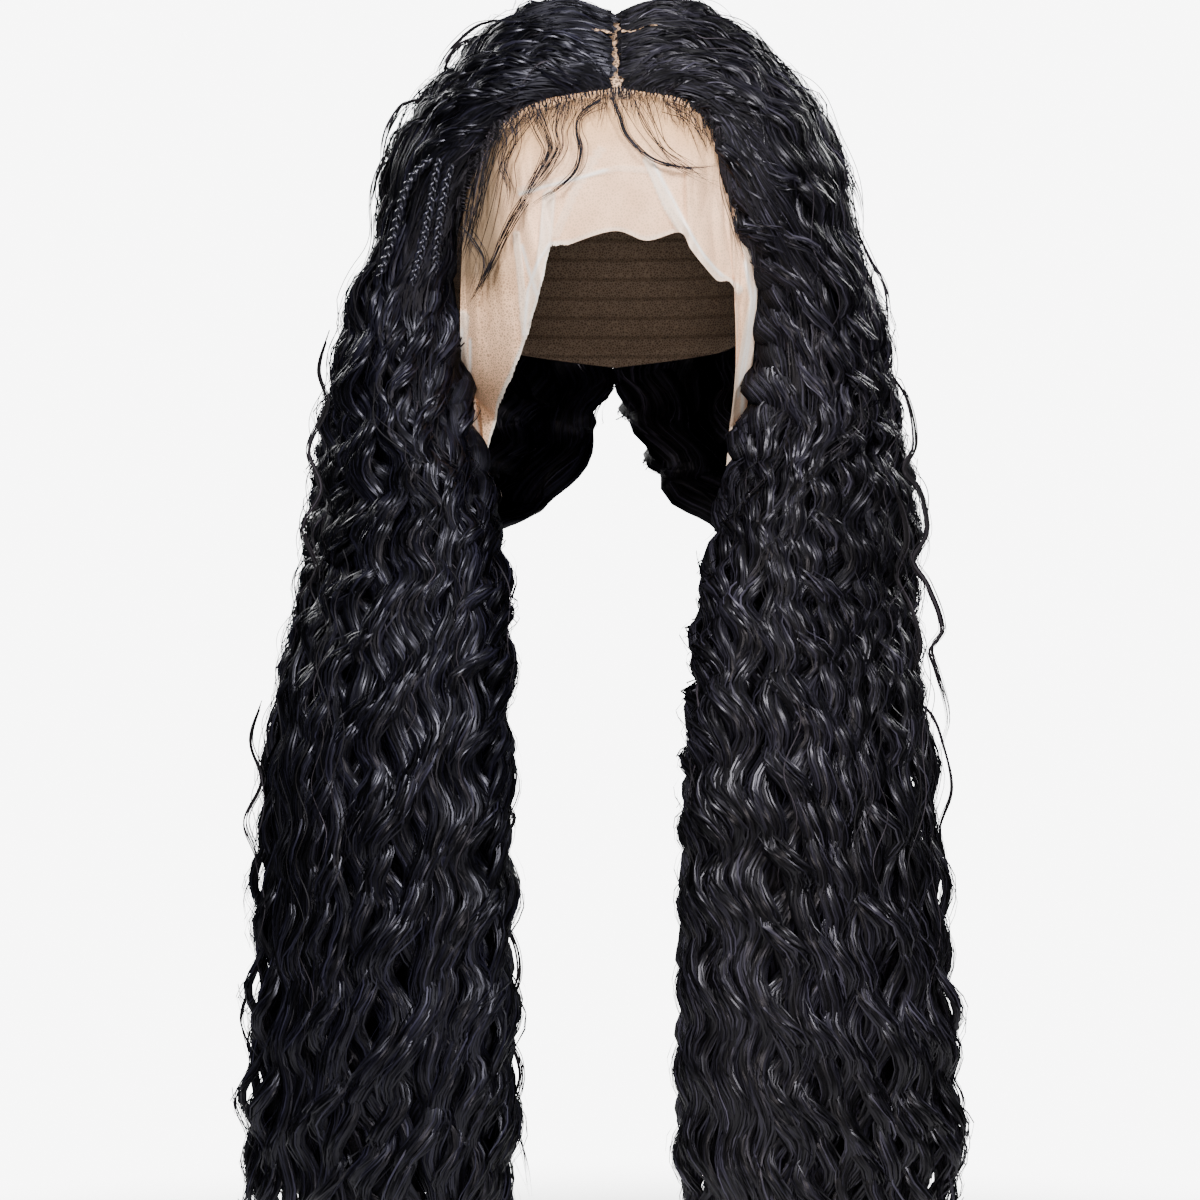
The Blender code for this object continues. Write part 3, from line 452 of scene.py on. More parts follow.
class HairSheet:
    """One side's hair: points at places across (w), stations down (u) and depths (d)."""

    def __init__(self, side):
        self.side = side
        self.s = np.linspace(0.0, 1.0, SHEET_COLUMNS)
        self.u = np.linspace(0.0, LAST_STATION, SHEET_ROWS)
        columns = hair_stations(side, self.s)
        grid = spline(np.arange(len(columns)), columns.reshape(len(columns), -1), self.u)
        grid = grid.reshape(len(self.u), len(self.s), 3)
        lift = HAIR_LIFT + CURTAIN_LIFT * smooth_step((self.u - LAST_ON_HEAD) / CURTAIN_LIFT_RISE)
        self.inner = push_off_head(grid, lift[:, None, None])
        s, u = np.meshgrid(self.s, self.u)
        self.normal = self.frame(self.inner, 0.05, 0.6)[0]
        outer = self.inner + self.normal * hair_thickness(s, u)[..., None]
        self.out, self.back = self.frame(outer, 0.02, 0.1)

    def frame(self, grid, across, along):
        """Directions outward and to the back, taken over half spans across and along."""
        s, u = np.meshgrid(self.s, self.u)
        to_back = self.read(grid, s + across, u) - self.read(grid, s - across, u)
        down = self.read(grid, s, u + along) - self.read(grid, s, u - along)
        return unit(np.cross(to_back, down) * -self.side), unit(to_back)

    def read(self, grid, s, u):
        """Values of a grid at places across and stations down."""
        a = np.clip(s, 0.0, 1.0) * (len(self.s) - 1)
        b = np.clip(u, 0.0, LAST_STATION) / LAST_STATION * (len(self.u) - 1)
        i = np.minimum(a.astype(int), len(self.s) - 2)
        j = np.minimum(b.astype(int), len(self.u) - 2)
        f = (a - i)[..., None]
        g = (b - j)[..., None]
        top = grid[j, i] * (1.0 - f) + grid[j, i + 1] * f
        low = grid[j + 1, i] * (1.0 - f) + grid[j + 1, i + 1] * f
        return top * (1.0 - g) + low * g

    def place(self, w, u):
        """Place across the sheet of the hair that is w of the way back: it crowds toward the face."""
        ease = smooth_step((u - CROWDING_EASES) / CROWDING_EASING)
        return np.clip(w, 0.0, 1.0) ** (CROWDING_HEAD + (CROWDING_TIPS - CROWDING_HEAD) * ease)

    def at(self, w, u, depth, inset=0.0):
        """Point, direction to the back and direction outward. inset keeps a bundle inside."""
        s = self.place(w, u)
        thick = np.maximum(hair_thickness(s, u) - inset, 0.0)
        normal = self.read(self.normal, s, u)
        point = self.read(self.inner, s, u) + normal * (thick * depth)[..., None]
        return point, unit(self.read(self.back, s, u)), unit(self.read(self.out, s, u))


def strand_length(u):
    """Length of hair in metres from the root to a station."""
    on_head = np.minimum(u, LAST_ON_HEAD)
    return STEP_ON_HEAD * on_head + STEP_BELOW * (u - on_head)


def set_attribute(mesh, name, kind, field, values):
    """Give every point of a mesh its value."""
    layer = mesh.attributes.new(name, kind, "POINT")
    layer.data.foreach_set(field, np.asarray(values, dtype=np.float32).reshape(-1))


def new_mesh(name, verts, quads, material, strand=None, tone=None):
    """Mesh from arrays of points and four-cornered faces, with its strand and tone attributes."""
    mesh = bpy.data.meshes.new(name)
    verts = np.asarray(verts, dtype=np.float32).reshape(-1, 3)
    quads = np.asarray(quads, dtype=np.int32).reshape(-1, 4)
    mesh.vertices.add(len(verts))
    mesh.vertices.foreach_set("co", verts.reshape(-1))
    mesh.loops.add(len(quads) * 4)
    mesh.loops.foreach_set("vertex_index", quads.reshape(-1))
    mesh.polygons.add(len(quads))
    mesh.polygons.foreach_set("loop_start", np.arange(0, len(quads) * 4, 4, dtype=np.int32))
    mesh.polygons.foreach_set("loop_total", np.full(len(quads), 4, dtype=np.int32))
    mesh.polygons.foreach_set("use_smooth", np.full(len(quads), True))
    if strand is not None:
        set_attribute(mesh, "strand", "FLOAT_VECTOR", "vector", strand)
    if tone is not None:
        set_attribute(mesh, "tone", "FLOAT", "value", tone)
    mesh.update(calc_edges=True)
    mesh.validate()
    item = bpy.data.objects.new(name, mesh)
    mesh.materials.append(material)
    bpy.context.scene.collection.objects.link(item)
    return item


def grid_faces(shape, turned=False):
    """Faces of a grid of points with so many rows and columns. Turned ones face the other way."""
    index = np.arange(shape[0] * shape[1]).reshape(shape)
    quads = np.stack([index[:-1, :-1], index[1:, :-1], index[1:, 1:], index[:-1, 1:]], axis=-1)
    return quads[..., [0, 3, 2, 1]] if turned else quads


def tube_mesh(centre, wide, deep, half_width, half_depth, sides, tilt):
    """Rings of elliptical sections along many lines at once: points, faces, and angle round."""
    count, rings = centre.shape[:2]
    angle = np.linspace(0.0, 2.0 * math.pi, sides, endpoint=False) + np.zeros((count, rings, 1))
    across = np.cos(angle) * half_width[..., None]
    out = np.sin(angle) * half_depth[..., None]
    c, s = np.cos(tilt)[..., None], np.sin(tilt)[..., None]
    x = across * c - out * s
    y = across * s + out * c
    points = centre[:, :, None, :] + wide[:, :, None, :] * x[..., None] + deep[:, :, None, :] * y[..., None]
    index = np.arange(count * rings * sides).reshape(count, rings, sides)
    after = np.roll(index, -1, axis=2)
    quads = np.stack([index[:, :-1], after[:, :-1], after[:, 1:], index[:, 1:]], axis=-1)
    return points, quads, angle


def tube_marks(angle, along, tone):
    """Strand and tone of tubes."""
    strand = np.stack([np.cos(angle), np.sin(angle), along[..., None] + 0.0 * angle], axis=-1)
    return strand, tone + 0.0 * angle


def ribbon_mesh(centre, wide, half_width):
    """Flat ribbons along many lines at once."""
    count, rings = centre.shape[:2]
    left = centre - wide * half_width[..., None]
    right = centre + wide * half_width[..., None]
    points = np.stack([left, right], axis=2)
    index = np.arange(count * rings * 2).reshape(count, rings, 2)
    quads = np.stack([index[:, :-1, 0], index[:, 1:, 0], index[:, 1:, 1], index[:, :-1, 1]], axis=-1)
    return points, quads


def ribbon_marks(ids, station, length, step=0.0):
    """Strand and tone of ribbons: each has its own number, and its second edge is a step on."""
    ids, station, length = np.broadcast_arrays(ids[:, None], station, length)
    strand = np.repeat(np.stack([ids, station, length], axis=-1)[:, :, None, :], 2, axis=2)
    strand[:, :, 1, 0] += step
    return strand, np.repeat((ids % 1.0)[:, :, None], 2, axis=2)


def stations_for(ends):
    """Stations of the points along strands that end at the given stations."""
    head = np.linspace(0.0, LAST_ON_HEAD, POINTS_ON_HEAD, endpoint=False)
    below = np.linspace(0.0, 1.0, POINTS_BELOW)
    lower = LAST_ON_HEAD + (ends[:, None] - LAST_ON_HEAD) * below[None, :]
    return np.concatenate([np.repeat(head[None, :], len(ends), axis=0), lower], axis=1)


class Locks:
    """The locks of one layer on one side, with their centre lines and frames."""

    def __init__(self, sheet, count, depth, spread, rng, size, sides):
        self.sheet = sheet
        self.sides = sides
        self.count = count
        self.w = (np.arange(count) + 0.5 + rng.uniform(-0.25, 0.25, count)) / count
        self.depth = np.clip(depth + rng.uniform(-spread, spread, count), 0.0, 1.0)
        self.end = LAST_STATION - rng.uniform(0.05, 0.75, count)
        self.phase = 2.0 * np.sin(2.0 * math.pi * 1.9 * self.w + 0.7) + rng.normal(0.0, 0.9, count)
        self.length = WAVE_LENGTH * rng.uniform(0.80, 1.24, count)
        self.swing = WAVE_SWING * rng.uniform(0.65, 1.4, count)
        self.twist = rng.uniform(-0.9, 0.9, count)
        self.drift_phase = rng.uniform(0.0, 6.28, (count, 2))
        self.id = rng.uniform(0.0, 50.0, count)
        self.size = size

    def paths(self, own, shift=0.0, gain=1.0):
        """Centre lines of locks with their frames, half sizes and waves. own lists the locks."""
        u = stations_for(self.end[own])
        length = strand_length(u)
        root = self.w[own][:, None]
        drift = 0.012 * np.sin(length * 14.0 + self.drift_phase[own, :1])
        drift = drift + 0.006 * np.sin(length * 37.0 + self.drift_phase[own, 1:])
        w = root + drift * smooth_step((u - 1.0) / 4.0)
        section = (np.floor(root * SECTIONS) + 0.5) / SECTIONS
        pull = SECTION_PULL * np.exp(-(((u - 0.75) / 0.55) ** 2)) * ((root < 0.62) & (root > 0.06))
        apart = CROSS_GAP * np.sign(w - CROSS_PARTING) * np.exp(-(((w - CROSS_PARTING) / 0.05) ** 2))
        w = np.clip(w + (section - w) * pull + apart * (1.0 - smooth_step((u - 0.5) / 0.5)), 0.004, 0.996)
        step = 0.5 / OUTER_LOCKS
        before = self.sheet.at(w - step, u, np.full_like(u, 0.9))[0]
        after = self.sheet.at(w + step, u, np.full_like(u, 0.9))[0]
        spacing = np.linalg.norm(after - before, axis=-1)
        half_width = np.clip(LOCK_WIDTH * spacing, *LOCK_HALF_WIDTH) * self.size
        to_edge = np.minimum(w, 1.0 - w) * OUTER_LOCKS * spacing
        half_width = np.minimum(half_width, 0.9 * to_edge + 0.0010)
        half_depth = np.clip(LOCK_DEPTH * half_width, *LOCK_HALF_DEPTH)
        thick = hair_thickness(self.sheet.place(w, u), u)
        half_depth = np.minimum(half_depth, DEEPEST_LOCK * thick)
        depth = self.depth[own][:, None] + 0.0 * u
        centre, back, out = self.sheet.at(w, u, depth, 2.0 * half_depth)
        centre = centre + out * half_depth[..., None]
        crown = CROWN_WAVES[self.sheet.side]
        rise = crown * smooth_step(u / 0.9) + (1.0 - crown) * smooth_step((u - 3.0) / 3.0)
        if self.sheet.side < 0:
            plaits = np.exp(-(((u - 4.25) / 0.75) ** 2)) * (w < 0.27)
            rise = rise * (1.0 - 0.85 * plaits)
        slow = 1.0 + 0.35 * np.sin(length * 23.0 + self.drift_phase[own, :1] * 2.0)
        turn = 2.0 * math.pi * length / self.length[own][:, None] + self.phase[own][:, None] + shift
        turn = turn + 0.7 * np.sin(length * 19.0 + self.drift_phase[own, 1:])
        swing = self.swing[own][:, None] * rise * slow * gain
        centre = centre + back * (swing * np.sin(turn))[..., None]
        centre = centre + out * (WAVE_HEAVE / WAVE_SWING * swing * np.cos(turn) * 0.8)[..., None]
        puff = SECTION_PUFF * np.exp(-(((u - 1.05) / 0.55) ** 2)) * np.sin(root * 23.0 + 1.0) ** 2
        centre = centre + out * (puff * self.depth[own][:, None])[..., None]
        return u, length, centre, back, out, half_width, half_depth, turn

    def bodies(self):
        """The locks themselves, as tubes."""
        own = np.arange(self.count)
        u, length, centre, _, out, half_width, half_depth, turn = self.paths(own)
        share = (self.end[:, None] - u) / 0.9
        taper = np.clip(share, 0.0, 1.0) ** 0.6 * (0.55 + 0.45 * smooth_step(u / 0.5)) + 0.02
        lean = self.twist[:, None] * 0.6 * np.sin(turn * 0.5) * smooth_step((u - 4.2) / 1.5)
        along = unit(np.gradient(centre, axis=1))
        wide = unit(np.cross(out, along))
        deep = unit(np.cross(along, wide))
        points, quads, angle = tube_mesh(
            centre, wide, deep, half_width * taper, half_depth * taper, self.sides, lean
        )
        marks = tube_marks(angle, length * 35.0 + self.id[:, None], self.id[:, None, None] % 1.0)
        return push_off_head(points, CLEAR_OF_HEAD), quads, *marks

    def strands(self, each, rng, facing, within=1.0, span=slice(None)):
        """Ribbons over each lock. facing is 1 for its outer side, -1 for its inner one, 0 for both."""
        own = np.repeat(np.flatnonzero(self.w < within), each)
        total = len(own)
        loose = (rng.uniform(0.0, 1.0, total) < LOOSE_SHARE)[:, None]
        shift = rng.normal(0.0, 0.17, total)[:, None] * np.where(loose, 3.0, 1.0)
        gain = rng.uniform(0.88, 1.18, total)[:, None]
        gain = np.where(loose, gain * 1.35, gain)
        u, length, centre, back, out, half_width, half_depth, _ = self.paths(own, shift, gain)
        place = rng.uniform(-1.0, 1.0, total)[:, None]
        curl = rng.uniform(0.0, 6.28, total)[:, None]
        place = place * 1.05 + 0.30 * np.sin(length * rng.uniform(9.0, 26.0, total)[:, None] + curl)
        height = np.sqrt(np.clip(1.0 - (place / 1.5) ** 2, 0.05, 1.0))
        if facing == 0.0:
            around = rng.uniform(0.0, 2.0 * math.pi, total)[:, None] + 0.4 * np.sin(length * 12.0 + curl)
            place = 1.15 * np.cos(around)
            height = np.sin(around)
            facing = 1.0
        over = rng.uniform(1.0, 1.45, total)[:, None] + np.where(loose, 0.55, 0.0)
        tip = np.clip((self.end[own][:, None] - u) / 1.1, 0.0, 1.0) ** 0.5
        tip = 0.25 + 0.75 * tip
        centre = centre + back * (place * half_width * tip)[..., None]
        centre = centre + out * (facing * height * half_depth * over + facing * 0.00025)[..., None]
        along = unit(np.gradient(centre, axis=1))
        wide = unit(np.cross(out, along))
        deep = np.cross(along, wide)
        roll = rng.normal(0.0, 0.10, total)[:, None] + 0.08 * np.sin(length * 31.0 + curl)
        roll = roll - 0.65 * place * self.sheet.side
        wide = wide * np.cos(roll)[..., None] + deep * (facing * np.sin(roll))[..., None]
        width = STRAND_WIDTH * rng.uniform(0.6, 1.5, total)[:, None]
        width = width * (0.35 + 0.65 * np.clip((self.end[own][:, None] - u) / 0.5, 0.0, 1.0))
        width = width * (0.45 + 0.55 * smooth_step(u / 0.6))
        centre, wide, width, u, length = (part[:, span] for part in (centre, wide, width, u, length))
        points, quads = ribbon_mesh(centre, wide, width)
        marks = ribbon_marks(rng.uniform(0.0, 60.0, total), u, length, 0.5)
        return push_off_head(points, CLEAR_OF_HEAD), quads, *marks


def join(parts):
    """Points, faces, strands and tones of all the parts as one mesh."""
    points, quads, strands, tones = [], [], [], []
    offset = 0
    for p, q, s, t in parts:
        points.append(p.reshape(-1, 3))
        quads.append(q.reshape(-1, 4) + offset)
        strands.append(s.reshape(-1, 3))
        tones.append(np.asarray(t).reshape(-1))
        offset += len(points[-1])
    return np.concatenate(points), np.concatenate(quads), np.concatenate(strands), np.concatenate(tones)


def start_material(name):
    """New node material, its tree and its main shader."""
    material = bpy.data.materials.new(name)
    material.use_nodes = True
    return material, material.node_tree, material.node_tree.nodes["Principled BSDF"]


def feed(tree, node, inputs):
    """Set a node's inputs: another node's output is linked, and anything else is the input's own value."""
    for key, value in inputs.items():
        if isinstance(value, bpy.types.NodeSocket):
            tree.links.new(value, node.inputs[key])
        else:
            node.inputs[key].default_value = value


def add(tree, kind, inputs=None, **settings):
    """New node with its settings made and its inputs fed."""
    node = tree.nodes.new(kind)
    for key, value in settings.items():
        setattr(node, key, value)
    feed(tree, node, inputs or {})
    return node


def ramp(tree, factor, low, high, start=0.0, end=1.0):
    """Colour that goes from low to high while the factor goes from start to end."""
    node = add(tree, "ShaderNodeValToRGB", {"Fac": factor})
    for element, place, colour in zip(node.color_ramp.elements, (start, end), (low, high)):
        element.position = place
        element.color = (*colour, 1.0)
    return node.outputs["Color"]


def mixed(tree, first, second, factor=1.0, blend="MULTIPLY"):
    """Colour made of two others."""
    node = add(
        tree, "ShaderNodeMix", {"Factor": factor, "A": first, "B": second},
        data_type="RGBA", blend_type=blend, clamp_result=False,
    )
    return node.outputs["Result"]


def relief(tree, shader, height, strength, depth, **settings):
    """Bump on the shader, from a height."""
    inputs = {"Height": height, "Strength": strength, "Distance": depth}
    feed(tree, shader, {"Normal": add(tree, "ShaderNodeBump", inputs, **settings).outputs["Normal"]})


def hair_material(name, dark, light, scale, roughness, bump, gloss_level, tint):
    """Hair: fine streaks along the strand attribute, for colour, gloss and relief, with painted bluish
    highlight patches.
    """
    material, tree, shader = start_material(name)
    strand = add(tree, "ShaderNodeAttribute", attribute_name="strand").outputs["Vector"]
    tone = add(tree, "ShaderNodeAttribute", attribute_name="tone").outputs["Fac"]
    along = add(tree, "ShaderNodeVectorMath", {0: strand, 1: scale}, operation="MULTIPLY").outputs["Vector"]
    streaks = {"Vector": along, "Scale": 1.0, "Detail": 4.0, "Roughness": 0.65}
    fine = add(tree, "ShaderNodeTexNoise", streaks).outputs["Fac"]
    streak = add(tree, "ShaderNodeMath", {0: tone, 1: 0.35, 2: fine}, operation="MULTIPLY_ADD")
    colour = ramp(tree, streak.outputs["Value"], dark, light, 0.38, 1.0)
    # Painted highlight: broad patches along the strands where the base colour is raised up to about twelve
    # times and turned bluish, and cut to 0.4 between them as painted shade.
    highlight_patch = add(tree, "ShaderNodeTexNoise", {"Vector": along, "Scale": 0.45, "Detail": 2.0})
    painted_sheen = ramp(tree, highlight_patch.outputs["Fac"], (0.4, 0.4, 0.4), (10.0, 9.8, 12.0), 0.48, 0.71)
    span = {"From Min": 0.3, "From Max": 0.7, "To Min": roughness - 0.06, "To Max": roughness + 0.10}
    gloss = add(tree, "ShaderNodeMapRange", {"Value": fine, **span})
    feed(tree, shader, {
        "Base Color": mixed(tree, colour, painted_sheen),
        "Roughness": gloss.outputs["Result"],
        "Specular IOR Level": gloss_level,
        "Specular Tint": (*tint, 1.0),
    })
    if bump:
        relief(tree, shader, fine, 0.75, bump)
    return material


def lace_material():
    """Sheer net: its colour and cover come from the mesh, its threads from a fine cell pattern."""
    material, tree, shader = start_material("lace")
    veil = add(tree, "ShaderNodeAttribute", attribute_name="veil").outputs
    place = add(tree, "ShaderNodeTexCoord").outputs["Object"]
    cells = {"Vector": place, "Scale": LACE_CELLS}
    net = add(tree, "ShaderNodeTexVoronoi", cells, feature="DISTANCE_TO_EDGE").outputs["Distance"]
    soft = add(tree, "ShaderNodeTexNoise", {"Vector": place, "Scale": 70.0, "Detail": 4.0})
    shade = ramp(tree, soft.outputs["Fac"], (0.86, 0.84, 0.82), (1.0, 1.0, 1.0), 0.35, 0.65)
    span = {"From Min": 0.04, "From Max": 0.26, "To Min": 0.80, "To Max": -0.75}
    thread = add(tree, "ShaderNodeMapRange", {"Value": net, **span}).outputs["Result"]
    bare = add(tree, "ShaderNodeMath", {0: 1.06, 1: veil["Alpha"]}, operation="SUBTRACT")
    terms = {0: thread, 1: bare.outputs["Value"], 2: veil["Alpha"]}
    cover = add(tree, "ShaderNodeMath", terms, operation="MULTIPLY_ADD", use_clamp=True)
    feed(tree, shader, {
        "Base Color": mixed(tree, veil["Color"], shade),
        "Alpha": cover.outputs["Value"],
        "Roughness": 0.7,
        "Specular IOR Level": 0.25,
    })
    relief(tree, shader, net, 0.35, 0.0003, invert=True)
    return material


def cap_material():
    """Stretch lace of the cap: inside a brown net with sewn rows, and dark outside under the hair."""
    material, tree, shader = start_material("cap_net")
    place = add(tree, "ShaderNodeTexCoord").outputs["Object"]
    cells = {"Vector": place, "Scale": FINE_CELLS}
    net = add(tree, "ShaderNodeTexVoronoi", cells, feature="DISTANCE_TO_EDGE")
    threads = ramp(tree, net.outputs["Distance"], (0.20, 0.145, 0.105), (0.075, 0.052, 0.038), 0.03, 0.22)
    rows = add(
        tree, "ShaderNodeTexWave", {"Vector": place, "Scale": 35.0},
        wave_type="BANDS", bands_direction="Z", wave_profile="SIN",
    ).outputs["Fac"]
    sewn = ramp(tree, rows, (1.0, 1.0, 1.0), (0.66, 0.64, 0.62), 0.84, 0.99)
    outside = add(tree, "ShaderNodeAttribute", attribute_name="tone").outputs["Fac"]
    inner = mixed(tree, threads, sewn)
    feed(tree, shader, {
        "Base Color": mixed(tree, inner, (0.003, 0.003, 0.004, 1.0), outside, "MIX"),
        "Roughness": 0.8,
        "Specular IOR Level": 0.2,
    })
    relief(tree, shader, rows, 0.25, 0.0004)
    return material


def parting_material():
    """Skin-coloured lace with the dark knots of the hair."""
    material, tree, shader = start_material("parting_lace")
    place = add(tree, "ShaderNodeTexCoord").outputs["Object"]
    knots = add(tree, "ShaderNodeTexVoronoi", {"Vector": place, "Scale": FINE_CELLS})
    colour = ramp(tree, knots.outputs["Distance"], (0.05, 0.030, 0.020), (0.62, 0.38, 0.22), 0.30, 0.60)
    feed(tree, shader, {"Base Color": colour, "Roughness": 0.7})
    return material


def finish_piece(item, slot, *nodes):
    """Hang a piece on the root body and hide the nodes of the solids that it stands for; the slot is not
    used.
    """
    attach(item, "root")
    if nodes:
        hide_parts(*nodes)
    return item


def add_piece(name, parts, look, slot, *nodes):
    """One piece of all the parts."""
    points, quads, strand, tone = join(parts)
    finish_piece(new_mesh(name, points, quads, look, strand, tone), slot, *nodes)


def make_hair(word, sheet, rng, looks):
    """All the hair of one side: bodies, strands over them, and a dark backing between."""
    outer = Locks(sheet, OUTER_LOCKS, 0.94, 0.06, rng, 1.0, 8)
    middle = Locks(sheet, MIDDLE_LOCKS, 0.55, 0.12, rng, 1.5, 5)
    inner = Locks(sheet, INNER_LOCKS, 0.10, 0.06, rng, 1.6, 6)
    crown, curtain = "crown_hair_" + word, "curtain_" + word
    bodies = [outer.bodies(), middle.bodies(), inner.bodies()]
    add_piece("locks_" + word, bodies, looks["body_" + word], curtain, crown, curtain)
    look = looks["strand_" + word]
    points, quads, strand, tone = outer.strands(STRANDS_OUTER, rng, 1.0)
    half = len(points) // 2
    for name, part in (("front_strands_", slice(0, half)), ("back_strands_", slice(half, None))):
        own = (points[part], quads[: len(points[part])], strand[part], tone[part])
        add_piece(name + word, [own], look, curtain)
    under = [
        middle.strands(STRANDS_MIDDLE, rng, 1.0),
        inner.strands(STRANDS_INNER, rng, -1.0),
        inner.strands(STRANDS_INSIDE, rng, -1.0, 1.0, SPAN_INSIDE),
        outer.strands(STRANDS_AT_FACE, rng, 0.0, 0.09),
    ]
    add_piece("under_strands_" + word, under, look, curtain)
    u = np.linspace(0.75, LAST_STATION - 0.9, 130)[:, None]
    w = np.linspace(0.07, 0.97, 40)[None, :]
    u, w = u + 0.0 * w, w + 0.0 * u
    centre = sheet.at(w, u, np.full_like(u, 0.5))[0]
    strand = np.stack([w * 60.0, np.zeros_like(w), strand_length(u) * 20.0], axis=-1)
    backing = (centre, grid_faces(u.shape), strand, np.zeros(u.size))
    add_piece("backing_" + word, [backing], looks["backing"], curtain)


def make_braids(sheet, looks):
    """The plaits: three bundles each, wound round one another along a line on the hair."""
    for number, row in enumerate(BRAIDS, start=1):
        keys = [(row[0], row[1]), (row[2], row[3]), (row[4], row[5])]
        line = spline([0.0, 0.5, 1.0], keys, np.linspace(0.0, 1.0, 150))
        w, u = line[None, :, 0], line[None, :, 1]
        point, _, out = sheet.at(w, u, np.ones_like(u))
        centre = point + out * PLAIT_LIFT
        length = path_length(centre[0])[None, :]
        along = unit(np.gradient(centre, axis=1))
        wide = unit(np.cross(out, along))
        deep = np.cross(along, wide)
        parts = []
        for k in range(3):
            turn = math.pi * length / PLAIT_LENGTH + 2.0 * math.pi * k / 3.0
            own = centre + wide * (PLAIT_SWING * np.sin(turn))[..., None]
            own = own + deep * (PLAIT_RISE * np.sin(2.0 * turn))[..., None]
            end = np.clip((length[0, -1] - length) / 0.004, 0.35, 1.0)
            half = PLAIT_BUNDLE * end
            points, quads, angle = tube_mesh(own, wide, deep, half * 1.05, half * 0.9, 8, 0.0 * u)
            parts.append((points, quads, *tube_marks(angle, length * 60.0 + (3.0 * number + k), 0.2)))
        add_piece(f"plait_{number}", parts, looks["braid"], f"braid_{number}", f"braid_left_{number}")


def cap_point(azimuth, share, lift=0.0):
    """Points on the head form below the crown, at shares of the way to the edge of the cap."""
    edge_azimuth = [row[0] for row in CAP_EDGE]
    edge_drop = [row[1] for row in CAP_EDGE]
    fall = np.interp(np.abs(azimuth), edge_azimuth, edge_drop) * MM * share
    level = HEAD_ABOVE_EARS - fall
    half_height = np.where(level > 0, HEAD_ABOVE_EARS, HEAD_BELOW_EARS)
    room = np.clip(1.0 - (np.abs(level) / half_height) ** HEAD_SQUARENESS, 0.0, 1.0)
    east, north = np.sin(np.radians(azimuth)), np.cos(np.radians(azimuth))
    spread = (np.abs(east) / HEAD_HALF_WIDTH) ** HEAD_SQUARENESS
    spread = spread + (np.abs(north) / HEAD_HALF_DEPTH) ** HEAD_SQUARENESS
    radius = (room / spread) ** (1.0 / HEAD_SQUARENESS)
    point = np.stack([radius * east, -radius * north, -fall], axis=-1)
    return point + unit(point - HEAD_CENTRE) * lift


def make_cap(looks):
    """The cap: an outer skin, and an inner one with sewn rows at the back and a hem."""
    azimuth = np.linspace(-180.0, 180.0, 97)[None, :]
    share = np.linspace(0.02, 1.0, 36)[:, None] ** 2.0
    azimuth, share = azimuth + 0.0 * share, share + 0.0 * azimuth
    fall = -cap_point(azimuth, share)[..., 2]
    row = 0.00012 * np.maximum(np.sin(fall * 2.0 * math.pi / CAP_ROW), 0.0) * (np.abs(azimuth) > 70.0)
    hem = 0.0004 * smooth_step((share - 0.93) / 0.05)
    lifts = (0.0005 - row - hem, 0.0010 + 0.0 * row)
    points = np.stack([cap_point(azimuth, share, lift[..., None]) for lift in lifts])
    inner = grid_faces(azimuth.shape, True).reshape(-1, 4)
    outer = inner[:, ::-1] + azimuth.size
    low = np.arange(azimuth.size).reshape(azimuth.shape)[-1]
    rim = np.stack([low[:-1], low[1:], low[1:] + azimuth.size, low[:-1] + azimuth.size], axis=-1)
    quads = np.concatenate([inner, outer, rim])
    outside = np.repeat([0.0, 1.0], azimuth.size)
    item = new_mesh("cap_net", points, quads, looks["cap"], None, outside)
    finish_piece(item, "cap_lace", "lace_cap")


def to_picture(points):
    """Pixels of the picture where points show."""
    away = points[..., 1] - CAMERA_PLACE[1]
    scale = CAMERA_DISTANCE / PIXEL / away
    right, up = points[..., 0] - CAMERA_PLACE[0], points[..., 2] - CAMERA_PLACE[2]
    return PICTURE_MIDDLE + scale * right, PICTURE_MIDDLE - scale * up


def from_picture(px, py, y):
    """Sideways and upward places of what shows at pixels of the picture, at the depth y."""
    scale = PIXEL * (y - CAMERA_PLACE[1]) / CAMERA_DISTANCE
    x = CAMERA_PLACE[0] + (px - PICTURE_MIDDLE) * scale
    return x, CAMERA_PLACE[2] + (PICTURE_MIDDLE - py) * scale


def near_line(px, py, line):
    """Distance in pixels from points to a line through given pixels."""
    best = np.full(px.shape, 1e9)
    for (x0, y0), (x1, y1) in zip(line, line[1:]):
        dx, dy = x1 - x0, y1 - y0
        along = np.clip(((px - x0) * dx + (py - y0) * dy) / (dx * dx + dy * dy), 0.0, 1.0)
        best = np.minimum(best, np.hypot(px - x0 - along * dx, py - y0 - along * dy))
    return best


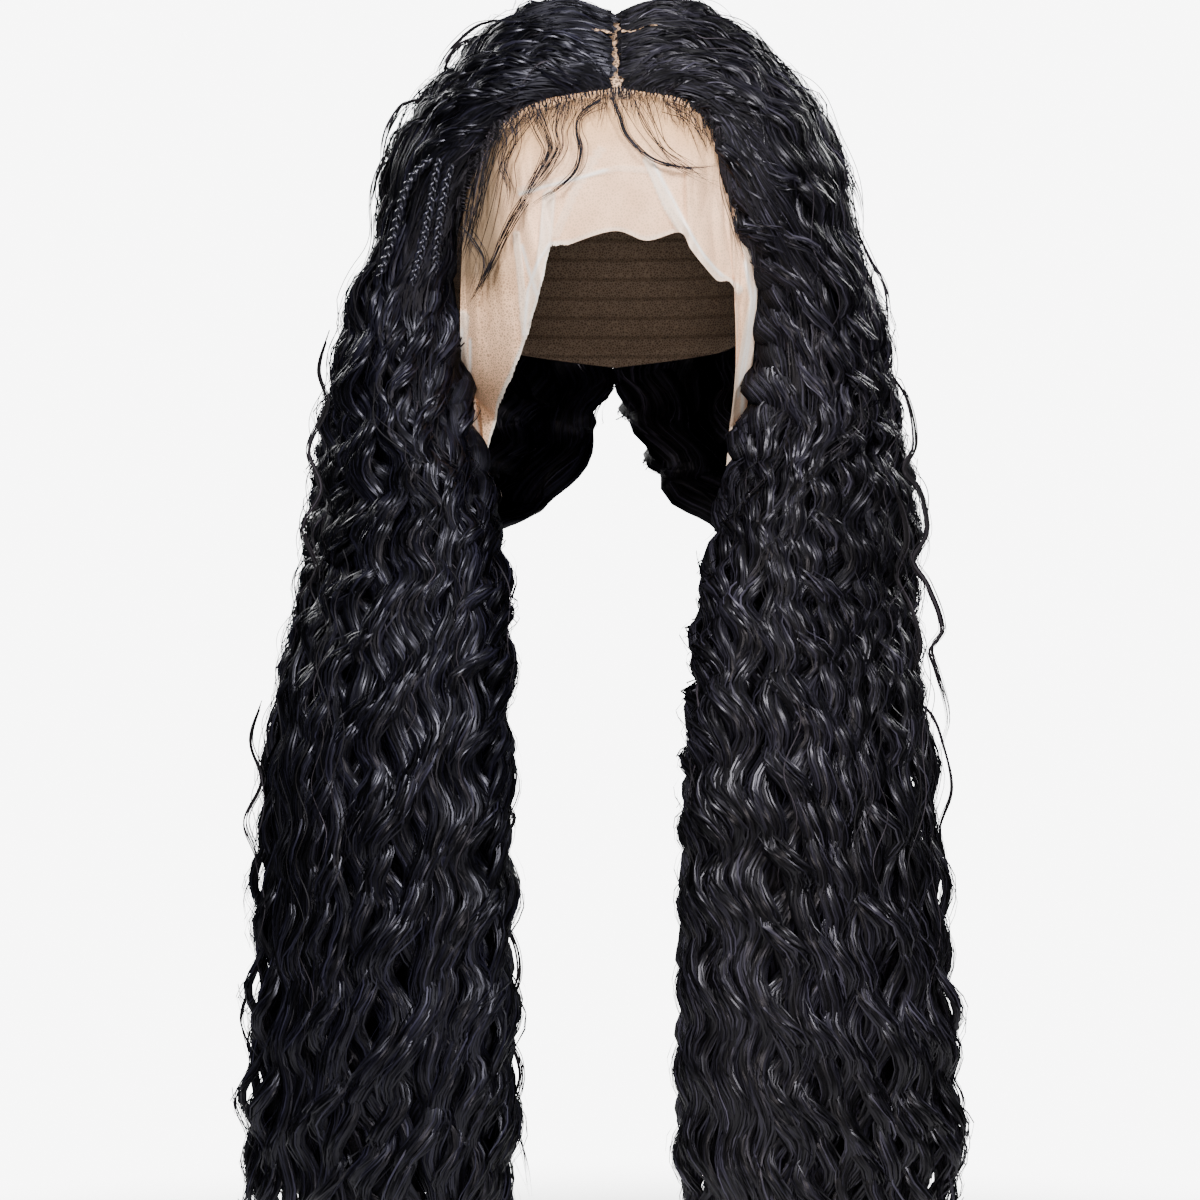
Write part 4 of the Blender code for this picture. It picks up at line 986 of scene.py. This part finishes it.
def lace_shape():
    """Points of the lace in rows downward, and how near each column is to the calm middle."""
    table = np.array(LACE_FOLDS)
    places = np.linspace(0.0, len(table) - 1.0, LACE_COLUMNS)
    entry = np.stack([np.interp(places, range(len(table)), column) for column in table.T], axis=1)
    soft = spline(np.arange(len(table)), table, places)
    middle = smooth_step((places - 7.0) / 1.5) * smooth_step((14.5 - places) / 1.5)
    entry = entry + (soft - entry) * (0.35 + 0.65 * middle)[:, None]
    top = cap_point(entry[:, 0], np.ones(LACE_COLUMNS))
    down = np.linspace(0.0, 1.0, LACE_ROWS)
    grid = np.zeros((LACE_ROWS, LACE_COLUMNS, 3))
    for c in range(LACE_COLUMNS):
        mid_x, mid_z, low_x, low_z, mid_off, low_off = entry[c, 1:] * MM
        keys = [(top[c, 0], top[c, 2] + 0.0006, 0.0014), (mid_x, mid_z, mid_off), (low_x, low_z, low_off)]
        line = spline([0.0, 0.5, 1.0], keys, down)
        ripple = 0.0006 * np.sin(places[c] * 5.3 + down * 4.0) * smooth_step(down * 1.6)
        ripple = ripple + 0.0008 * np.sin(places[c] * 2.1 - down * 7.0) * down
        off = np.maximum(line[:, 2] + np.abs(ripple), 0.0008)
        jag = (0.0005 * math.sin(c * 2.9) + 0.0004 * math.sin(c * 0.77)) * (1.0 - middle[c])
        x, z = line[:, 0], line[:, 1] + jag * smooth_step((down - 0.95) / 0.05)
        grid[:, c] = np.stack([x, head_front_y(x, z) - off, z], axis=-1)
    return grid, middle


def lace_folds(px, py):
    """Strength of the folds and of the creases at pixels of the picture."""
    fold = np.zeros(px.shape)
    for width, strength, line in LACE_RIDGES:
        reach = near_line(px, py, line) / width
        height = strength * np.exp(-(reach**8)) * (0.50 + 0.50 * np.minimum(reach, 1.0) ** 3)
        fold = np.maximum(fold, height)
    crease = np.zeros(px.shape)
    for line in LACE_CREASES:
        crease = np.maximum(crease, np.exp(-((near_line(px, py, line) / CREASE_WIDTH) ** 2)))
    return fold, crease


def lace_veil(px, py, down, middle, fold, crease):
    """Colour and cover of the lace: warm at the brow, pale in its folds and along its cut edge."""
    from_hairline = py - np.interp(px[0], np.sort(px[0]), py[0][np.argsort(px[0])])[None, :]
    temple = smooth_step((530.0 - px) / 40.0) * smooth_step((330.0 - py) / 60.0)
    brow = np.maximum(1.0 - smooth_step((from_hairline - 22.0) / 62.0), temple)
    side_part = smooth_step((540.0 - px) / 25.0) * smooth_step((py - 250.0) / 40.0)
    skin = LACE_BROW + temple[..., None] * LACE_TEMPLE
    colour = LACE_CREAM + (skin - LACE_CREAM) * brow[..., None]
    rim = smooth_step((down - 0.962) / 0.02) * (0.35 + 0.65 * (1.0 - middle))[None, :]
    colour = colour + (LACE_THICK - colour) * np.clip(np.maximum(fold, rim), 0.0, 1.0)[..., None]
    colour = colour + (LACE_BRIGHT - colour) * 0.85 * crease[..., None]
    cover = 0.90 + 0.04 * brow - 0.17 * side_part
    cover = cover + (0.97 - cover) * np.clip(fold * 1.1, 0.0, 1.0)
    cover = cover + (0.98 - cover) * crease
    cover = np.where(down > 0.985, np.maximum(cover, 0.9), cover)
    return np.concatenate([colour, cover[..., None]], axis=-1)


def make_lace(looks):
    """Lace front from the cap's front edge to its cut edge, in loose folds."""
    grid, middle = lace_shape()
    down = np.linspace(0.0, 1.0, LACE_ROWS)[:, None]
    px, py = to_picture(grid)
    fold, crease = lace_folds(px, py)
    grid[..., 1] -= (RIDGE_HEIGHT * fold + CREASE_HEIGHT * crease) * smooth_step(down * 4.0)
    item = new_mesh("lace", grid, grid_faces(px.shape), looks["lace"])
    veil = lace_veil(px, py, down, middle, fold, crease)
    set_attribute(item.data, "veil", "FLOAT_COLOR", "color", veil)
    finish_piece(item, "front_lace", "lace_front")
    return grid


class Brow:
    """The surface that fine hairs lie on: the head form, or the lace where it stands in front."""

    def __init__(self, lace):
        cells = int(2.0 * PICTURE_MIDDLE / BROW_CELL)
        px, py = to_picture(lace)
        row = (py / BROW_CELL).astype(int)
        column = (px / BROW_CELL).astype(int)
        front = np.zeros((cells, cells))
        np.minimum.at(front, (row, column), lace[..., 1])
        wide = front.copy()
        for down in (-1, 0, 1):
            for across in (-1, 0, 1):
                wide = np.minimum(wide, np.roll(front, (down, across), axis=(0, 1)))
        self.front = wide

    def place(self, px, py, lift):
        """Points that show at pixels of the picture, lifted off the surface."""
        px = np.asarray(px, dtype=float)
        py = np.asarray(py, dtype=float)
        y = np.full(px.shape, HAIRLINE_DEPTH)
        cell = self.front[(py / BROW_CELL).astype(int), (px / BROW_CELL).astype(int)]
        for _ in range(4):
            x, z = from_picture(px, py, y)
            y = np.minimum(head_front_y(x, z), cell) - lift
        if y.size > 4:
            padded = np.concatenate([y[:1], y, y[-1:]])
            y = np.minimum(y, (padded[:-2] + padded[1:-1] + padded[2:]) / 3.0)
        return np.stack([x, y, z], axis=-1)


def hairs_along(brow, keys, count, root, end, rng, width, lift, points=26):
    """Fine hairs along one line, root and end pixels apart from it at its two ends."""
    keys = np.array(keys, dtype=float)
    step = path_length(keys)
    share = np.linspace(0.0, 1.0, points)
    lines = []
    for _ in range(count):
        at = rng.uniform(0.0, 0.05) + share * rng.uniform(0.68, 0.95)
        line = spline(step, keys, at * step[-1])
        side = np.stack([-np.gradient(line[:, 1]), np.gradient(line[:, 0])], axis=1)
        side = side / np.linalg.norm(side, axis=1)[:, None]
        off = rng.normal(0.0, 1.0) * (root + (end - root) * smooth_step(share * 1.3))
        off = off + rng.normal(0.0, 0.35 * root) * np.sin(share * rng.uniform(5.0, 9.0))
        line = line + side * off[:, None]
        lines.append(brow.place(line[:, 0], line[:, 1], lift + rng.uniform(0.0, 0.0006)))
    return ribbons_from(np.array(lines), width, rng)


def ribbons_from(centre, width, rng):
    """Fine hairs along centre lines, as ribbons turned to the front and thin at their ends."""
    count, points = centre.shape[:2]
    along = unit(np.gradient(centre, axis=1))
    view = np.broadcast_to(np.array([0.0, -1.0, 0.15]), along.shape)
    wide = unit(np.cross(along, view))
    share = np.linspace(0.0, 1.0, points)[None, :]
    half = width * rng.uniform(0.6, 1.3, count)[:, None] * np.clip((1.0 - share) / 0.35, 0.12, 1.0)
    marks = ribbon_marks(rng.uniform(0.0, 60.0, count), share * 3.0, share * 0.05)
    return *ribbon_mesh(centre, wide, half), *marks


def swept(sheet, root, w, u, share, lifts, rise):
    """Lines from roots over to places on the sheet, lifted off it, and the outward direction."""
    target, _, out = sheet.at(w, u, np.ones_like(u))
    target = target + out * lifts[:, None, None]
    blend = smooth_step(share * rise)[..., None]
    return root[:, None, :] * (1.0 - blend) + target * blend, out


def edge_roots(side, sheet, rng):
    """Hairs of one side from the front edge of the cap, swept back over the locks."""
    count = ROOT_HAIRS
    azimuth = side * np.sort(1.3 + 48.7 * rng.uniform(0.0, 1.0, count))
    root = cap_point(azimuth, np.ones(count) * 0.995, 0.0016)
    root[:, 2] += rng.uniform(-0.0012, 0.0010, count)
    u_line = np.linspace(0.0, 4.6, 120)
    edge = sheet.at(np.full_like(u_line, 0.012), u_line, np.full_like(u_line, 0.4))[0]
    nearest = np.argmin(np.linalg.norm(root[:, None, :] - edge[None], axis=-1), axis=1)
    share = np.linspace(0.0, 1.0, 18)[None, :]
    reach = rng.uniform(0.5, 2.4, count)[:, None]
    w = 0.004 + rng.uniform(0.01, 0.14, count)[:, None] * share**0.7
    u = u_line[nearest][:, None] + reach * share
    centre, out = swept(sheet, root, w, u, share, rng.uniform(0.0004, 0.0032, count), 1.5)
    arch = 0.0016 * np.sin(share * math.pi) * rng.uniform(0.2, 1.0, count)[:, None]
    return ribbons_from(centre + out * arch[..., None], ROOT_WIDTH, rng)


def parting_roots(side, sheet, rng):
    """Hairs of one side from the ragged edge of the parting."""
    count = PARTING_HAIRS
    station = rng.uniform(0.0, 0.02, count)
    place = rng.uniform(0.0, 0.97, count)
    start = sheet.at(place, station, np.full(count, 0.1))[0]
    alpha = ROOT_ALPHA_FRONT + (ROOT_ALPHA_BACK - ROOT_ALPHA_FRONT) * place**CROWDING_HEAD
    ragged = 0.0007 * np.sin(alpha * 0.83 + side) + 0.0005 * np.sin(alpha * 2.1) * np.sin(alpha * 0.31)
    cross = 0.0024 * smooth_step((alpha - PARTING_END + 6.0) / 8.0)
    away = 0.0017 + ragged + rng.uniform(-0.0010, 0.0004, count) - cross * rng.uniform(0.6, 1.4, count)
    start[:, 0] = parting_drift(alpha) + side * away
    share = np.linspace(0.0, 1.0, 10)[None, :]
    u = rng.uniform(0.6, 1.5, count)[:, None] * share
    w = place[:, None] + rng.normal(0.0, 0.022, count)[:, None] * u
    centre, _ = swept(sheet, start, w, u, share, rng.uniform(0.0002, 0.0030, count), 1.6)
    return ribbons_from(centre, ROOT_WIDTH, rng)


def fringe(brow, rng):
    """Knots along the hairline, the locks of the fringe, and short hairs between them."""
    parts = []
    knots = np.array(HAIRLINE, dtype=float)
    step = path_length(knots)
    for at in np.arange(2.0, step[-1], TICK_STEP):
        x, y = spline(step, knots, [at])[0]
        dx, dy = spline(step, knots, [at + 1.0])[0] - np.array([x, y])
        long = rng.uniform(5.5, 9.0)
        keys = [(x + 3.0 * dy, y - 3.0 * dx), (x - 0.4 * long * dy, y + 0.4 * long * dx)]
        keys.append((x - long * dy + rng.normal(0.0, 1.0), y + long * dx))
        parts.append(hairs_along(brow, keys, 2, 0.35, 0.5, rng, TICK_WIDTH, 0.0016, points=6))
    for keys, count, root, end in FRINGE:
        parts.append(hairs_along(brow, keys, count, root, end, rng, FRINGE_WIDTH, 0.0012))
    for _ in range(SHORT_HAIRS):
        at = rng.uniform(60.0, step[-1] - 20.0)
        x, y = spline(step, knots, [at])[0]
        fall = rng.uniform(8.0, 46.0)
        lean = rng.normal(0.0, 10.0) + 0.12 * (x - 617.0)
        keys = [(x, y - 3.0), (x + 0.30 * lean, y + 0.5 * fall), (x + lean, y + fall)]
        parts.append(hairs_along(brow, keys, 1, 0.3, 0.3, rng, SHORT_WIDTH, 0.0012, points=10))
    return parts


def wisps(rng):
    """Loose strands that stand away from the curtains and the crown."""
    parts = []
    for depth, count, spread, keys in WISPS:
        keys = np.array(keys, dtype=float)
        step = path_length(keys)
        lines = []
        for _ in range(WISP_HAIRS * count):
            share = np.linspace(rng.uniform(0.0, 0.06), rng.uniform(0.75, 1.0), 64)
            line = spline(step, keys, share * step[-1])
            line = line + rng.normal(0.0, 0.7 * spread, 2) * (0.25 + np.sin(share * math.pi))[:, None]
            line[:, 0] += rng.normal(0.0, 0.6 * spread) * np.sin(share * rng.uniform(5.0, 12.0))
            y = depth + rng.uniform(-0.002, 0.002) + 0.003 * np.sin(share * 9.0)
            x, z = from_picture(line[:, 0], line[:, 1], depth)
            lines.append(np.stack([x, y, z], axis=-1))
        parts.append(ribbons_from(np.array(lines), WISP_WIDTH, rng))
    return parts


def make_hairline(sheets, lace, rng, looks):
    """Roots at the front edge of the cap and the parting, and fine hairs over the lace."""
    for side, sheet in sheets.items():
        word = SIDES[side]
        roots = [edge_roots(side, sheet, rng), parting_roots(side, sheet, rng)]
        add_piece("roots_" + word, roots, looks["strand_" + word], "crown_" + word)
    add_piece("fine_hairs", fringe(Brow(lace), rng) + wisps(rng), looks["fine"], "crown_right")


def parting_drift(alpha):
    """Sideways wander of the parting, in metres, at angles over the head."""
    return 0.0011 * np.sin(alpha * 0.21) + 0.0006 * np.sin(alpha * 0.67) + 0.0004 * np.sin(alpha * 1.9)


def make_parting(sheets, looks):
    """Skin-coloured strip of lace along the parting and across it."""
    along = np.linspace(36.0, PARTING_END, 110)[:, None]
    across = np.linspace(-1.0, 1.0, 9)[None, :]
    beta = np.degrees((across * PARTING_HALF + parting_drift(along)) / HEAD_ABOVE_PARTING)
    grid = point_on_head(1, along + 0.0 * beta, beta, 0.00135)
    quads = grid_faces(grid.shape[:2], True)
    finish_piece(new_mesh("parting_lace", grid, quads, looks["parting"]), "cap_lace")
    for side, sheet in sheets.items():
        u = np.linspace(0.0, 0.50 if side < 0 else 0.70, 30)[:, None]
        half = 0.0065 * (1.0 - 0.6 * u / 0.75) * (0.75 + 0.45 * np.sin(u * 31.0 + side))
        w = CROSS_PARTING + half * np.linspace(-1.0, 1.0, 7)[None, :] + 0.004 * np.sin(u * 14.0 + side)
        point, _, out = sheet.at(w, u + 0.0 * w, np.ones_like(w))
        quads = grid_faces(w.shape, True)
        item = new_mesh("cross_parting_" + SIDES[side], point + out * 0.0016, quads, looks["parting"])
        finish_piece(item, "cap_lace")


def make_loose_hairs(sheets, rng, looks):
    """Single loose hairs that stand off the curtains and the crown."""
    parts = []
    count = LOOSE_HAIRS
    for sheet in sheets.values():
        w = rng.uniform(0.0, 1.0, count)[:, None]
        start = rng.uniform(0.3, 9.0, count)[:, None]
        share = np.linspace(0.0, 1.0, 60)[None, :]
        u = start + rng.uniform(1.0, 3.5, count)[:, None] * share
        u = np.minimum(u, LAST_STATION - 0.1)
        length = strand_length(u)
        w = np.clip(w + 0.03 * np.sin(length * 20.0 + w * 40.0), 0.0, 1.0)
        point, back, out = sheet.at(w, u, np.ones_like(u))
        turn = 2.0 * math.pi * length / rng.uniform(0.028, 0.045, count)[:, None] + w * 30.0
        stand = rng.uniform(0.001, 0.0065, count)[:, None] * np.sin(share * math.pi) ** 0.6
        centre = point + out * (stand + 0.0016 * np.cos(turn))[..., None]
        centre = centre + back * (0.0032 * np.sin(turn))[..., None]
        parts.append(ribbons_from(centre, LOOSE_WIDTH, rng))
    add_piece("loose_hairs", parts, looks["fine"], "curtain_right")


def make_looks():
    """All the materials by the names that the pieces ask for."""
    looks = {name: hair_material(*row) for name, row in HAIR_LOOKS.items()}
    looks.update(lace=lace_material(), cap=cap_material(), parting=parting_material())
    return looks


def area_light(name, place, size, power, colour):
    """Rectangular light turned to the middle of the wig."""
    light = bpy.data.lights.new(name, "AREA")
    light.shape = "RECTANGLE"
    light.size, light.size_y = size
    light.energy = power
    light.color = colour
    item = bpy.data.objects.new(name, light)
    bpy.context.scene.collection.objects.link(item)
    item.location = place
    direction = np.array(LIGHTS_AIM) - np.array(place)
    flat = math.hypot(direction[0], direction[1])
    item.rotation_euler = (math.atan2(flat, -direction[2]), 0.0, math.atan2(-direction[0], direction[1]))


def floor_material():
    """Pale floor that thins out toward its rim."""
    material, tree, shader = start_material("pale_floor")
    place = add(tree, "ShaderNodeTexCoord").outputs["Object"]
    away = add(tree, "ShaderNodeVectorMath", {0: place}, operation="LENGTH").outputs["Value"]
    span = {"From Min": 0.45 * FLOOR_RADIUS, "From Max": 0.95 * FLOOR_RADIUS, "To Min": 1.0, "To Max": 0.0}
    fade = add(tree, "ShaderNodeMapRange", {"Value": away, **span}, interpolation_type="SMOOTHSTEP")
    feed(tree, shader, {
        "Base Color": (0.90, 0.90, 0.90, 1.0), "Roughness": 0.9, "Alpha": fade.outputs["Result"],
    })
    return material


def make_world():
    """Pale surroundings for the camera, and little light from them on the hair."""
    world = bpy.data.worlds.new("studio")
    bpy.context.scene.world = world
    world.use_nodes = True
    tree = world.node_tree
    dim = tree.nodes["Background"]
    feed(tree, dim, {"Color": (0.93, 0.96, 1.0, 1.0), "Strength": WORLD_LIGHT})
    pale = add(tree, "ShaderNodeBackground", {"Color": (1.0, 1.0, 1.0, 1.0), "Strength": WORLD_SEEN})
    seen = add(tree, "ShaderNodeLightPath").outputs["Is Camera Ray"]
    shaders = {"Fac": seen, 1: dim.outputs["Background"], 2: pale.outputs["Background"]}
    choice = add(tree, "ShaderNodeMixShader", shaders)
    feed(tree, tree.nodes["World Output"], {"Surface": choice.outputs["Shader"]})


def make_stage():
    """Round pale floor, soft lights and the camera."""
    angle = np.linspace(0.0, 2.0 * math.pi, 73)
    rim = np.stack([FLOOR_RADIUS * np.cos(angle), FLOOR_RADIUS * np.sin(angle), 0.0 * angle], axis=-1)
    quads = grid_faces((2, len(angle)))
    floor = new_mesh("floor", np.concatenate([rim * 0.00001, rim]), quads, floor_material())
    floor.location = (0.0, 0.0, FLOOR)
    make_world()
    for light in LIGHTS:
        area_light(*light)
    camera = bpy.data.cameras.new("camera")
    camera.sensor_fit = "HORIZONTAL"
    camera.sensor_width = 36.0
    camera.lens = CAMERA_LENS
    item = bpy.data.objects.new("camera", camera)
    bpy.context.scene.collection.objects.link(item)
    item.location = CAMERA_PLACE
    item.rotation_euler = (math.radians(90.0), 0.0, 0.0)
    bpy.context.scene.camera = item


def main():
    """The whole scene."""
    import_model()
    rng = np.random.default_rng(SEED)
    looks = make_looks()
    sheets = {side: HairSheet(side) for side in SIDES}
    for side, word in SIDES.items():
        make_hair(word, sheets[side], rng, looks)
    make_braids(sheets[-1], looks)
    make_cap(looks)
    make_parting(sheets, looks)
    make_hairline(sheets, make_lace(looks), rng, looks)
    make_loose_hairs(sheets, rng, looks)
    make_stage()


main()
